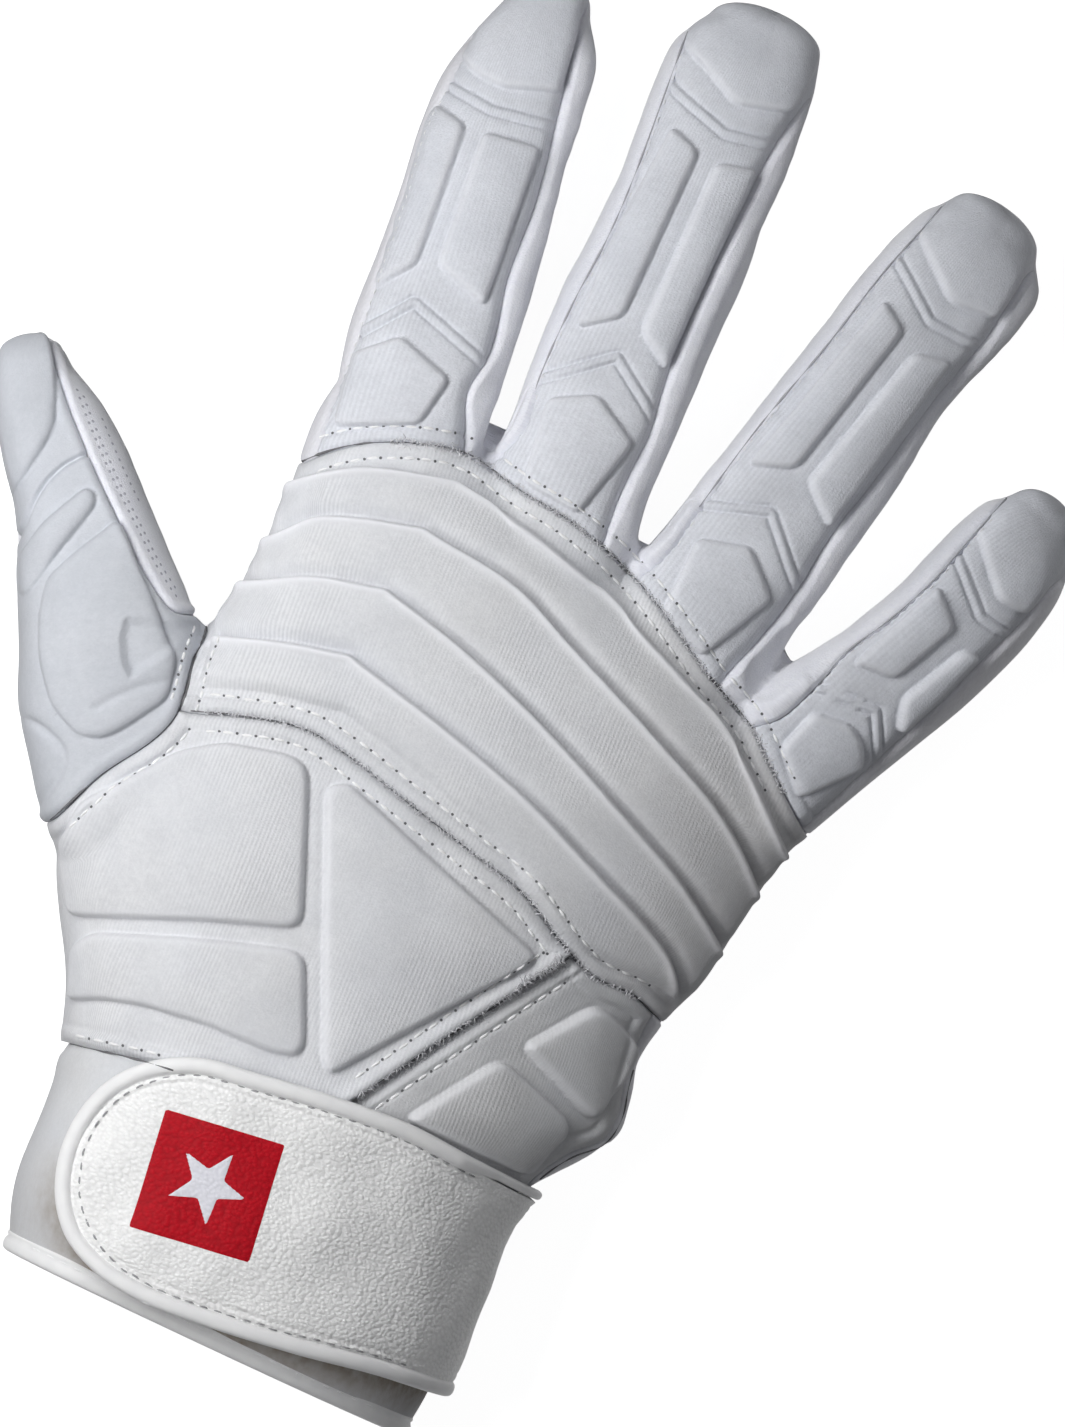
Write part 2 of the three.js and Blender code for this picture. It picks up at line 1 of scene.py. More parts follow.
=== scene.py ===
# %% [markdown]
# A padded glove for a lineman, who blocks with open hands. White ribbed cloth covers foam pads on
# the fingers, over the knuckles and on the back of the hand, and a leather strap closes the wrist.
# The glove lies palm down, in millimetres that become metres only when a mesh is made. +Y runs
# from the wrist to the middle fingertip, +X to the little finger, and +Z out of the back.

import math

import bpy
import numpy as np
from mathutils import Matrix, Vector
from mathutils.bvhtree import BVHTree


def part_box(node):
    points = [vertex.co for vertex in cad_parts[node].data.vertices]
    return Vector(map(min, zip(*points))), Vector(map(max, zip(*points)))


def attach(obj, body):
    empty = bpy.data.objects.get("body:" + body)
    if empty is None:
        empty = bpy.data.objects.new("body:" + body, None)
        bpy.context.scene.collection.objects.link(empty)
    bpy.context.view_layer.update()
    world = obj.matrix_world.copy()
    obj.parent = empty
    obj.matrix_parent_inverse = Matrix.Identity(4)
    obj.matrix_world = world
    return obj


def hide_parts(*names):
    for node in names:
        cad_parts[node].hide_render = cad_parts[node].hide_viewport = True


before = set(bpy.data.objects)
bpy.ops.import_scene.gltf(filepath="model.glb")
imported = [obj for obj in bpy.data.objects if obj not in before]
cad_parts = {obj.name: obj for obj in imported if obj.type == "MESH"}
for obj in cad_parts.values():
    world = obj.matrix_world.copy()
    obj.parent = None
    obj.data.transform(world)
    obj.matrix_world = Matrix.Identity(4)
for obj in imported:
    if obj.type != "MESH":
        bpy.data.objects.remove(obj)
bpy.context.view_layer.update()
MM = 0.001

# %% [markdown]
# A glove is read from its camera first. The photograph looks straight down on the back of the
# hand, so the camera hangs above it with a long lens, and turns until the fingers point up and
# to the right. A long lens keeps the fingers from spreading, as a product photograph does.

# %% Camera
CENTRE = (15.2, -2.3)  # the point of the glove under the middle of the picture
FRAME_WIDTH = 181.05  # what the picture spans across, at the height of the back of the hand
CAMERA_HEIGHT = 4200
TURN = math.radians(22)

camera_data = bpy.data.cameras.new("overhead_camera")
camera_data.sensor_fit = "HORIZONTAL"
camera_data.sensor_width = 36
camera_data.lens = 36 * (CAMERA_HEIGHT - 26) / FRAME_WIDTH
camera_data.clip_end = 10
camera = bpy.data.objects.new("overhead_camera", camera_data)
camera.location = (CENTRE[0] * MM, CENTRE[1] * MM, CAMERA_HEIGHT * MM)
camera.rotation_euler = (0, 0, TURN)
bpy.context.scene.collection.objects.link(camera)
bpy.context.scene.camera = camera

# %% [markdown]
# The glove's form is what a hand fills. Each finger is a table of sections along its own axis,
# with s the distance from its root, the reach to its left and right, its underside and its back.
# A table says more with fewer numbers than a sculpted mesh, and it can be checked with a ruler.

# %% Sections of the hand and the fingers
# y, left edge, right edge, underside, back, how much lower the little-finger side is, slant
HAND_ROWS = [
    (-122.8, -33.4, 40.5, -1.4, 37, 2, 0.055),
    (-118, -35.2, 41.6, -1.4, 38.5, 2, 0.05),
    (-84, -38.2, 43.8, -1.4, 40.5, 3, 0),
    (-76, -40.8, 46.2, -1.4, 40, 4, 0),
    (-70, -43.4, 51.2, -1.4, 40, 5, 0),
    (-64, -46.6, 55.6, -1.4, 39.5, 6, 0),
    (-57, -50.2, 55.4, -1.4, 39, 7, 0),
    (-50, -52.4, 54.2, -1.4, 39, 7, 0),
    (-44, -54, 55.4, -1.4, 39, 7, 0),
    (-34, -50, 58.8, -1.4, 38, 8, 0.02),
    (-18, -43.5, 61.6, -1, 37, 8, 0.06),
    (-4, -38.4, 64, 0, 36, 8, 0.13),
    (8, -37.6, 65.8, 1.6, 34, 8, 0.2),
    (17, -38, 63, 3, 32, 7, 0.28),
    (27, -35.6, 57, 5, 28, 5, 0.34),
]
# s, reach to the left, reach to the right, underside, back
FINGERS = {
    "index": dict(root=(-22.6, 33.4), lean=-4.2, cap=6, rows=[
        (-16, 13.4, 17, 5.4, 31),
        (2, 13.6, 13, 5.2, 31),
        (16, 14.8, 13, 4.3, 30),
        (28, 14.1, 13.2, 3.4, 28.5),
        (40, 13.7, 12.6, 2.2, 27),
        (52, 13.8, 11.8, 1.2, 25),
        (62, 12.6, 12, 0.4, 23.2),
        (71, 9.2, 11.4, 0, 21),
        (77.5, 6, 8, 1.4, 18.4),
    ]),
    "middle": dict(root=(6.1, 38.1), lean=1.8, cap=4.8, rows=[
        (-18, 17, 17, 5.2, 31),
        (2, 13, 13.6, 5.4, 31.5),
        (14, 13.6, 13.6, 4.4, 30.4),
        (28, 14.1, 13.4, 3.4, 29),
        (46, 13.2, 13.4, 1.8, 27),
        (52, 13.1, 12.7, 1.2, 26),
        (60, 13.6, 12.7, 0.6, 25),
        (68, 13.9, 12.2, 0.2, 23.6),
        (76, 13.3, 11.6, 0, 21.4),
        (81.5, 10, 10.2, 1.2, 19),
    ]),
    "ring": dict(root=(36.6, 25.7), lean=14.5, cap=4.4, rows=[
        (-16, 18, 17, 4.8, 29),
        (2, 14.8, 14, 5, 28.8),
        (16, 14.2, 13.8, 4, 28.2),
        (28, 13.6, 13.6, 3, 27.4),
        (40, 13.3, 12.7, 2, 26.2),
        (52, 13, 12, 1, 24.8),
        (62, 13, 13, 0.5, 23.4),
        (70, 12.2, 13.7, 0.2, 22),
        (76, 10.8, 13.4, 0.2, 20),
        (80.6, 8.4, 9.2, 1.6, 17.8),
    ]),
    "little": dict(root=(61.2, 6.9), lean=24.2, cap=4.8, rows=[
        (-14, 15, 9, 4.4, 24),
        (6, 14.6, 10.2, 4.2, 25),
        (16, 12.6, 11, 3.2, 25.4),
        (30, 10.8, 12, 1.8, 24),
        (44, 11.1, 11.3, 0.4, 21.8),
        (53, 10.6, 9, 0, 19.6),
        (58, 8.2, 5.8, 1.2, 17),
    ]),
    "thumb": dict(root=(-50.8, -24.6), lean=-35.4, cap=7, squareness=3.2, rows=[
        (-36, 12, 8, 3, 26),
        (-26, 16.9, 12, 0, 34),
        (-8, 18.5, 15.2, 0, 35),
        (2, 18, 14.8, 0, 34.6),
        (10, 16.1, 14.6, 0, 34),
        (22, 13.5, 12.8, 0, 32),
        (34, 11.1, 10.8, 0, 29.4),
        (42, 11.1, 9.4, 0, 27.6),
        (50, 10.2, 6.8, 0.4, 25.2),
        (56, 9.4, 3.8, 1.4, 22.6),
    ]),
}
FINGER_SQUARENESS = 2.7
HAND_SQUARENESS = 2.4
CAP_STEPS = (0.2, 0.4, 0.58, 0.74, 0.86, 0.94, 0.985)  # rings over a fingertip, as shares of its cap
# How much lower the outer edge of the back is than its middle, at each y: a hand is arched.
ARCH = [(-124, 5), (-84, 6.5), (-62, 8.5), (-44, 8.5), (0, 5), (27, 1)]
FINGER_ROLL = {"index": -0.06, "ring": 0.12, "little": 0.24}  # slope of each back to the outside
print(len(HAND_ROWS), "sections of the hand", {name: len(f["rows"]) for name, f in FINGERS.items()})

# %% [markdown]
# A finger's own s and t are turned into plan by its root and its lean, and back again. That way a
# pad is drawn once on a straight finger, as it is on the real pattern, whichever way it points.


# %% Along and across a finger
def finger_point(name, s, t):
    """Where a finger's own s along and t across are in plan."""
    root, lean = FINGERS[name]["root"], math.radians(FINGERS[name]["lean"])
    x = root[0] + s * math.sin(lean) + t * math.cos(lean)
    y = root[1] + s * math.cos(lean) - t * math.sin(lean)
    return np.stack([x, y], -1)


def on_finger(name, corners):
    """Points in plan of corners in a finger's own s and t."""
    return finger_point(name, *np.array(corners, float).T)


def finger_place(name, plan):
    """The s along and t across of points in plan."""
    root, lean = FINGERS[name]["root"], math.radians(FINGERS[name]["lean"])
    x, y = plan[:, 0] - root[0], plan[:, 1] - root[1]
    return x * math.sin(lean) + y * math.cos(lean), x * math.cos(lean) - y * math.sin(lean)


# %% [markdown]
# Between the rows of a table more sections are made on a smooth curve. Straight lofts would show
# every row as a ring, and a hand has none. Each section is a rounded box, a superellipse, because
# a padded finger is flatter than a round tube and has fuller shoulders.


# %% Loft the sections
def smooth_between(knots, values, at):
    """Values at places between knots, on a smooth curve through all of them."""
    slope = np.gradient(values, knots, axis=0)
    i = np.clip(np.searchsorted(knots, at, side="right") - 1, 0, len(knots) - 2)
    gap = (knots[i + 1] - knots[i])[:, None]
    u = (at[:, None] - knots[i][:, None]) / gap
    made = values[i] * (1 + 2 * u) * (1 - u) ** 2 + values[i + 1] * u**2 * (3 - 2 * u)
    return made + gap * (slope[i] * u * (1 - u) ** 2 + slope[i + 1] * u**2 * (u - 1))


def fill_rows(rows, step):
    """A table's rows with smooth rows between them, so that no ring of the loft shows."""
    table = np.array(rows, float)
    at = np.append(np.arange(table[0, 0], table[-1, 0], step), table[-1, 0])
    return smooth_between(table[:, 0], table, at)


def rounded_ring(count, squareness):
    """A unit section between a circle and a square, as two columns."""
    angle = (np.arange(count) + 0.5) / count * 2 * np.pi
    power = 2 / squareness
    across = np.sign(np.cos(angle)) * np.abs(np.cos(angle)) ** power
    up = np.sign(np.sin(angle)) * np.abs(np.sin(angle)) ** power
    return across, up


def tube_quads(rows, ring):
    """Quads between rows of points that are closed rings."""
    here = np.arange(rows - 1)[:, None] * ring + np.arange(ring)
    after = np.arange(rows - 1)[:, None] * ring + (np.arange(ring) + 1) % ring
    return np.stack([here, after, after + ring, here + ring], -1).reshape(-1, 4)


def loft(rings):
    """Points and faces of a closed tube through rings."""
    rings = np.array(rings)
    rows, count = rings.shape[:2]
    faces = tube_quads(rows, count).tolist()
    faces.append(list(range(count))[::-1])
    faces.append(list(range((rows - 1) * count, rows * count)))
    return rings.reshape(-1, 3), faces


def hand_section(row, count):
    """The x and z of points round one row of the hand's table."""
    across, up = rounded_ring(count, HAND_SQUARENESS)
    y, left, right, low, high, drop, _ = row
    arch = np.interp(y, *np.array(ARCH, float).T) * np.clip(across, 0, 1) ** 2
    x = (left + right) / 2 + (right - left) / 2 * across
    z = (low + high) / 2 + (high - low) / 2 * up - (drop / 2 * across + arch) * (up + 1) / 2
    return x, np.maximum(z, 0)


def hand_rings():
    """Rings along the hand, each at its slant across it."""
    rings = []
    for row in fill_rows(HAND_ROWS, 2):
        y, left, right, slant = row[[0, 1, 2, 6]]
        x, z = hand_section(row, 120)
        rings.append(np.stack([x, y - slant * (x - (left + right) / 2), z], -1))
    return rings


def finger_rings(name):
    """Rings along a finger, which close over its tip as a rounded cap."""
    across, up = rounded_ring(64, FINGERS[name].get("squareness", FINGER_SQUARENESS))
    table = fill_rows(FINGERS[name]["rows"], 1.5)
    cap = FINGERS[name]["cap"]
    roll = FINGER_ROLL.get(name, 0)
    sections = [(row, 1.0) for row in table]
    for u in CAP_STEPS:
        sections.append((table[-1] + [cap * u, 0, 0, 0, 0], math.sqrt(1 - u**2)))
    rings = []
    for (s, left, right, low, high), size in sections:
        t = (right - left) / 2 + size * (right + left) / 2 * across
        plan = finger_point(name, np.full(len(t), s), t)
        z = (low + high) / 2 + size * (high - low) / 2 * up - roll * t * (up + 1) / 2
        rings.append(np.column_stack([plan, np.maximum(z, 0)]))
    return rings


# %% [markdown]
# The tubes run into each other at the palm. Joining them with booleans leaves sharp creases,
# and cloth has none, so a voxel remesh fuses them into one skin, which a few rounds of smoothing
# relax. Its points are about 0.9 mm apart; where a seam or a pad's edge needs more, the triangles
# are quartered later. A second, coarser skin of the same form serves for the lining and the palm.


# %% Fuse the form into one skin
def halves(quads):
    """Two triangles for every quad."""
    return np.vstack([quads[:, [0, 1, 2]], quads[:, [0, 2, 3]]])


def fused_skin(voxel, rounds):
    """Points, normals and triangles of the form, in millimetres."""
    points, faces, first = [], [], 0
    for rings in [hand_rings()] + [finger_rings(name) for name in FINGERS]:
        tube_points, tube_faces = loft(rings)
        points.append(tube_points)
        faces += [[first + corner for corner in face] for face in tube_faces]
        first += len(tube_points)
    mesh = bpy.data.meshes.new("form")
    mesh.from_pydata(np.vstack(points).tolist(), [], faces)
    form = bpy.data.objects.new("form", mesh)
    bpy.context.scene.collection.objects.link(form)
    remesh = form.modifiers.new("fuse", "REMESH")
    remesh.mode = "VOXEL"
    remesh.voxel_size = voxel
    relax = form.modifiers.new("relax", "SMOOTH")
    relax.factor = 0.5
    relax.iterations = rounds
    graph = bpy.context.evaluated_depsgraph_get()
    made = form.evaluated_get(graph).to_mesh()
    co = np.empty(len(made.vertices) * 3, np.float32)
    made.vertices.foreach_get("co", co)
    normal = np.empty(len(made.vertices) * 3, np.float32)
    made.vertices.foreach_get("normal", normal)
    corners = np.empty(len(made.loops), np.int32)
    made.loops.foreach_get("vertex_index", corners)
    bpy.data.objects.remove(form)
    bpy.data.meshes.remove(mesh)
    tris = halves(corners.reshape(-1, 4))
    return co.reshape(-1, 3).astype(float), normal.reshape(-1, 3).astype(float), tris


FINE = fused_skin(1.0, 5)
COARSE = fused_skin(1.8, 3)
print("fine skin", len(FINE[2]), "triangles, coarse skin", len(COARSE[2]))

# %% [markdown]
# Everything sewn on the glove follows lines in plan: seams, stitch rows, grooves, pad outlines.
# A pattern cutter draws them flat too. So the pieces are cut from the skin along such lines, and
# a point's distance from a line says how high the cloth stands there: low in a seam, round at a
# pad's shoulder. Displacing real points this way keeps each edge where the drawing puts it.


# %% Lines and distances
def unit(vectors):
    """The same directions, one long."""
    return vectors / np.maximum(np.linalg.norm(vectors, axis=-1, keepdims=True), 1e-9)


def distance_along(line):
    """How far along a line each of its points is."""
    return np.concatenate([[0], np.cumsum(np.linalg.norm(np.diff(line, axis=0), axis=1))])


def points_at(line, at):
    """Points of a line at distances along it."""
    reach = distance_along(line)
    return np.stack([np.interp(at, reach, column) for column in line.T], -1)


def even(line, step):
    """The same line with points a step apart."""
    length = distance_along(line)[-1]
    return points_at(line, np.linspace(0, length, max(2, int(round(length / step)) + 1)))


def smooth_line(corners, step=1.2):
    """A smooth line through a few corners."""
    p = np.array(corners, float)
    reach = distance_along(p)
    return even(smooth_between(reach, p, np.linspace(0, reach[-1], 14 * len(p))), step)


def leftward(line):
    """The direction to the left of a line in plan, at each of its points."""
    ahead = unit(np.gradient(line, axis=0))
    return np.column_stack([-ahead[:, 1], ahead[:, 0]])


def keep_corner(corners, number, reach=1.6):
    """A line's corners, with two more beside one of them, so that it stays crisp."""
    p = [np.array(corner, float) for corner in corners]
    before, corner, after = p[number - 1 : number + 2]
    beside = [corner + (end - corner) * reach / np.linalg.norm(end - corner) for end in (before, after)]
    return p[:number] + [beside[0], corner, beside[1]] + p[number + 1 :]


def round_corners(corners, radius):
    """A closed outline with its corners rounded."""
    p = np.array(corners, float)
    made = []
    for before, corner, after in zip(np.roll(p, 1, 0), p, np.roll(p, -1, 0)):
        into, out = before - corner, after - corner
        start = corner + into * min(0.45, radius / np.linalg.norm(into))
        end = corner + out * min(0.45, radius / np.linalg.norm(out))
        for u in np.linspace(0, 1, 6):
            made.append((1 - u) ** 2 * start + 2 * u * (1 - u) * corner + u**2 * end)
    return np.array(made)


# %% [markdown]
# Two measures do most of the work. One is the distance from a line, with a sign that tells which
# side a point is on. The other is the depth inside a closed outline, for pads. Both are written
# for all points at once, because a panel has tens of thousands of them.


# %% Distances from lines and outlines
def measure(plan, line):
    """How far points are from a line, positive on its left, and how far along it they are."""
    best = np.full(len(plan), 1e12)
    side = np.ones(len(plan))
    along = np.zeros(len(plan))
    run = 0
    for a, b in zip(line, line[1:]):
        step = b - a
        length = math.hypot(*step)
        if length == 0:
            continue
        x, y = plan[:, 0] - a[0], plan[:, 1] - a[1]
        u = np.clip((x * step[0] + y * step[1]) / length**2, 0, 1)
        far = (x - u * step[0]) ** 2 + (y - u * step[1]) ** 2
        closer = far < best
        best[closer] = far[closer]
        side[closer] = np.sign(step[0] * y - step[1] * x)[closer]
        along[closer] = (run + u * length)[closer]
        run += length
    return side * np.sqrt(best), along


def left_of(plan, line):
    """How far points are to the left of a line."""
    return measure(plan, line)[0]


def least(*depths):
    """The smallest of several depths at every point: inside all of them at once."""
    return np.minimum.reduce(depths)


def inside(plan, outline, reach=4):
    """How deep points are inside a closed outline, negative outside it."""
    low, high = outline.min(0) - reach, outline.max(0) + reach
    near = np.flatnonzero(((plan > low) & (plan < high)).all(1))
    depth = np.full(len(plan), -float(reach))
    if not len(near):
        return depth
    loop = np.vstack([outline, outline[:1]])
    some = plan[near]
    far = np.abs(measure(some, loop)[0])
    within = np.zeros(len(some), bool)
    for (ax, ay), (bx, by) in zip(loop, loop[1:]):
        if ay != by:
            spans = (ay > some[:, 1]) != (by > some[:, 1])
            within ^= spans & (some[:, 0] < ax + (some[:, 1] - ay) * (bx - ax) / (by - ay))
    depth[near] = np.where(within, far, -far)
    return depth


# %% [markdown]
# These are the seam lines. Those along a finger are in the finger's own s and t, because that is
# how a finger's panel is cut. Each line runs on past the glove at both ends, where its exact
# course doesn't matter, so that a point anywhere can be told to be left or right of it.

# %% Seam lines
SIDE_SEAM_Z = 11  # where the palm meets the pieces above it
HALF_GAP = 0.08

KNUCKLE_SEAM = smooth_line(
    [(-60, -8), (-48, 8), (-38.4, 21.6), (-31.6, 27.7), (-20.9, 32.7), (-11.9, 34.5), (-1.2, 32.1)]
    + [(9.2, 30.3), (19.6, 27), (30.9, 21.1), (41, 14.7), (50.5, 9.6), (56.3, 4.5), (61, 0.3)]
    + [(78, -12), (92, -20)]
)
MIDHAND_SEAM = smooth_line(
    [(-60, -28), (-46, -25), (-39.3, -23.7), (-32, -21.5), (-17.1, -19.3), (-12.2, -20.3)]
    + [(-0.4, -23.7), (14.8, -28), (25.3, -31.2), (37, -37.9), (41.9, -39.9), (50.2, -40.6)]
    + [(55, -42.6), (75, -47)]
)
CUFF_SEAM = smooth_line(
    [(-70, -84), (-37.1, -83.9), (-25.3, -81.8), (-12, -80.6), (8, -79.6), (30, -79.2), (80, -79)]
)
SLANT_SEAM = smooth_line([(-1, -92.8), (8, -79.6), (22, -59), (36.8, -37.6), (46, -24)])
THUMB_SIDE = [(-90, -96), (-70, -70), (-53.8, -49.3), (-49.6, -40.7), (-40.6, -24.7)]
CROTCH = (-42.8, -8)
FLAP_EDGE = smooth_line(
    [(45, -92), (45.5, -76.7), (49.8, -69.8), (54.2, -65.6), (55.2, -61)]
    + [(54.2, -55), (53.6, -46), (58, -30)]
)
FINGER_SEAMS = {
    ("index", "left"): [(-12, -13.8), (10, -13.3), (22, -12.9), (38, -12.7), (52, -12.9), (60, -11.5)]
    + [(68, -10.3), (95, -9.8)],
    ("index", "right"): [(-10, 13), (2.5, 10.8), (10.3, 8.6), (16.7, 10.2), (31.5, 9.1), (42.7, 9.9)]
    + [(58, 9.1), (69.6, 8), (95, 7)],
    ("middle", "left"): [(-12, -14.6), (-2.3, -12.7), (3.6, -10.9), (12.4, -11.6), (26.4, -11.5)]
    + [(39.4, -10.6), (66.8, -11.7), (73.9, -12.2), (95, -12.6)],
    ("middle", "right"): [(-14, 10.6), (-0.7, 9.8), (12.1, 10.1), (18.9, 9.1), (35.2, 8.5), (52.1, 9.1)]
    + [(65.1, 10), (70.9, 11.1), (95, 12.4)],
    ("ring", "left"): [(-12, -15), (-3.1, -13.3), (2.5, -11.7), (12.6, -11.8), (29.3, -11.8)]
    + [(47.6, -10.7), (65.5, -10.2), (72.5, -9.5), (95, -8.4)],
    ("ring", "right"): [(-14, 9.4), (-6.5, 9.6), (0.9, 10.7), (11.3, 11), (21.5, 10), (34.8, 10.4)]
    + [(51.1, 10.7), (63.1, 11.2), (77.1, 10.4), (95, 9.6)],
    ("little", "left"): [(-14, -14), (-2.1, -11), (1.4, -8.8), (10, -8.1), (18.6, -8.8), (26.5, -7.8)]
    + [(39.1, -7.4), (44.7, -7.9), (57.2, -8.8), (80, -9.4)],
    ("little", "right"): [(-14, 8.6), (4, 9), (20, 9.4), (34, 9.2), (44, 9), (54, 8.2), (80, 6)],
}
FINGER_LINES = {key: smooth_line(on_finger(key[0], seam)) for key, seam in FINGER_SEAMS.items()}
GUSSET_SEAM = [(7.6, 15.1), (10.9, 11.8), (16.7, 9.1), (26, 6.7), (33.6, 4.9), (42.2, 3.3), (50.2, 2.2)]
GUSSET_SEAM += [(57.4, 1.8), (80, 1.4)]
GUSSET_ROOT = (-41.4, -16)
gusset_plan = on_finger("thumb", GUSSET_SEAM)
THUMB_EDGE = smooth_line(np.vstack([THUMB_SIDE, [GUSSET_ROOT], [CROTCH], gusset_plan[1:]]))
at_crotch = np.linalg.norm(THUMB_EDGE - CROTCH, axis=1).argmin()
rise_line = smooth_line([THUMB_EDGE[at_crotch], (-45, 6), (-52, 30), (-60, 60)])
CROTCH_RISE = np.vstack([THUMB_EDGE[:at_crotch], rise_line])
print(len(FINGER_LINES) + 7, "seam lines")

# %% [markdown]
# The strap's outline runs from its root round the free end and back. The hem lies across the
# wrist at a small slope, as the glove was cut, and not at a right angle to the hand.

# %% Strap and hem lines
HEM_SLOPE = 0.055
OUTLINE_STEP = 0.8  # between the points of the strap's outline
STRAP_TOP = [(64, -76.8), (45.7, -76.6), (35.6, -75.9), (20.7, -74.5), (11.4, -74.8), (-5.5, -76.3)]
STRAP_END = [(-15.5, -77.6), (-23.1, -81.8), (-27.4, -86.7), (-30.2, -94.1), (-30.2, -101.9)]
STRAP_END += [(-27.9, -108.3), (-23.3, -113.8), (-17.5, -117.4), (-10, -119.2)]
STRAP_BOTTOM = [(1.5, -119.2), (16.6, -118), (32.8, -116.1), (44.1, -115.8), (64, -115.6)]
STRAP_LINE = smooth_line(STRAP_TOP + STRAP_END + STRAP_BOTTOM, OUTLINE_STEP)


def hem_side(plan, y):
    """How far points are above the line of the hem through y."""
    return plan[:, 1] - y + HEM_SLOPE * plan[:, 0]


# %% [markdown]
# Cutting works on triangles: one that lies inside stays, one that the line crosses is cut along
# it. Every value that a point carries, such as its normal, is carried to the cut as well. A
# boolean with a thick blade would do it too, but far slower, and it would leave slivers.


# %% Cut a skin along a line
def cut(values, tris, keep):
    """The part of a skin where keep is above zero. values has one row for each point."""
    sign = keep[tris] > 0
    inner = sign.sum(1)
    whole = tris[inner == 3]
    made, new_tris = [values], [whole]
    edges, owners = [], []
    for count in (1, 2):
        some = tris[inner == count]
        if not len(some):
            continue
        odd = sign[inner == count] == (count == 1)
        first = odd.argmax(1)
        row = np.arange(len(some))
        a, b, c = (some[row, (first + k) % 3] for k in range(3))
        edges.append(np.vstack([np.column_stack([a, b]), np.column_stack([a, c])]))
        owners.append((count, a, b, c))
    if edges:
        ends = np.sort(np.vstack(edges), axis=1)
        unique, where = np.unique(ends, axis=0, return_inverse=True)
        where = where.reshape(-1)
        low, high = keep[unique[:, 0]], keep[unique[:, 1]]
        share = (low / (low - high))[:, None]
        made.append(values[unique[:, 0]] * (1 - share) + values[unique[:, 1]] * share)
        first = 0
        for count, a, b, c in owners:
            ab = where[first : first + len(a)] + len(values)
            ac = where[first + len(a) : first + 2 * len(a)] + len(values)
            first += 2 * len(a)
            if count == 1:
                new_tris.append(np.column_stack([a, ab, ac]))
            else:
                new_tris.append(np.column_stack([ab, b, c]))
                new_tris.append(np.column_stack([ab, c, ac]))
    used, renamed = np.unique(np.vstack(new_tris), return_inverse=True)
    return np.vstack(made)[used], renamed.reshape(-1, 3)


def border(tris):
    """The edges that only one triangle has, in its direction."""
    edges = np.vstack([tris[:, [0, 1]], tris[:, [1, 2]], tris[:, [2, 0]]]).astype(np.int64)
    key = edges.min(1) * (edges.max() + 1) + edges.max(1)
    _, where, times = np.unique(key, return_index=True, return_counts=True)
    return edges[where[times == 1]]


def biggest_part(tris, count):
    """Only the triangles that hang together with most of the others."""
    label = np.arange(count)
    while True:
        lowest = label[tris].min(1)
        before = label.copy()
        for k in range(3):
            np.minimum.at(label, tris[:, k], lowest)
        label = label[label]
        if (label == before).all():
            break
    home = label[tris[:, 0]]
    names, times = np.unique(home, return_counts=True)
    return tris[home == names[times.argmax()]]


# %% [markdown]
# A mesh made from arrays is quick, even with a hundred thousand triangles. Each one carries two
# values at every point: where it is on the flat cloth, which the weave follows, and how it is
# marked: pulled smooth and bright, in part as a painted highlight, and darkened by painted shade.


# %% Make an object
def new_object(name, points, tris, finish, cloth, wear_and_shade=None):
    """An object from points in millimetres and triangles, smooth shaded, with its finish."""
    mesh = bpy.data.meshes.new(name)
    mesh.vertices.add(len(points))
    mesh.vertices.foreach_set("co", (np.asarray(points) * MM).astype(np.float32).ravel())
    mesh.loops.add(tris.size)
    mesh.loops.foreach_set("vertex_index", tris.astype(np.int32).ravel())
    mesh.polygons.add(len(tris))
    starts = np.arange(0, tris.size, tris.shape[1], dtype=np.int32)
    mesh.polygons.foreach_set("loop_start", starts)
    mesh.update(calc_edges=True)
    for key, values in (("cloth", cloth), ("wear_and_shade", wear_and_shade)):
        if values is not None:
            attribute = mesh.attributes.new(key, "FLOAT_VECTOR", "POINT")
            attribute.data.foreach_set("vector", values.astype(np.float32).ravel())
    mesh.shade_smooth()
    mesh.materials.append(finish)
    made = bpy.data.objects.new(name, mesh)
    bpy.context.scene.collection.objects.link(made)
    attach(made, "root")
    print(name, len(tris), "triangles")
    return made


# %% [markdown]
# Only the steep places need fine triangles: the shoulders of pads, the grooves, the seams. So each
# panel is first raised on trial, and every edge that climbs too steeply is split in half. The flat
# cloth between stays coarse, and the glove stays light enough to turn on a screen.

# %% Finer triangles where the cloth is steep
STEEP = [(0.13, 1.2), (0.4, 0.5)]  # slope and distance from a seam that call for finer triangles


def near_node(points, node, keep):
    """How deep points are inside a panel, worked out only round the CAD piece it stands for."""
    low, high = (np.array(corner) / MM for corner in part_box(node))
    near = ((points > low - 5) & (points < high + 5)).all(1)
    depth = np.full(len(points), -9.0)
    depth[near] = keep(points[near]) - HALF_GAP
    return depth


def only_used(points, normals, tris):
    """Without the points that no triangle has."""
    used, tris = np.unique(tris, return_inverse=True)
    return points[used], normals[used], tris.reshape(-1, 3)


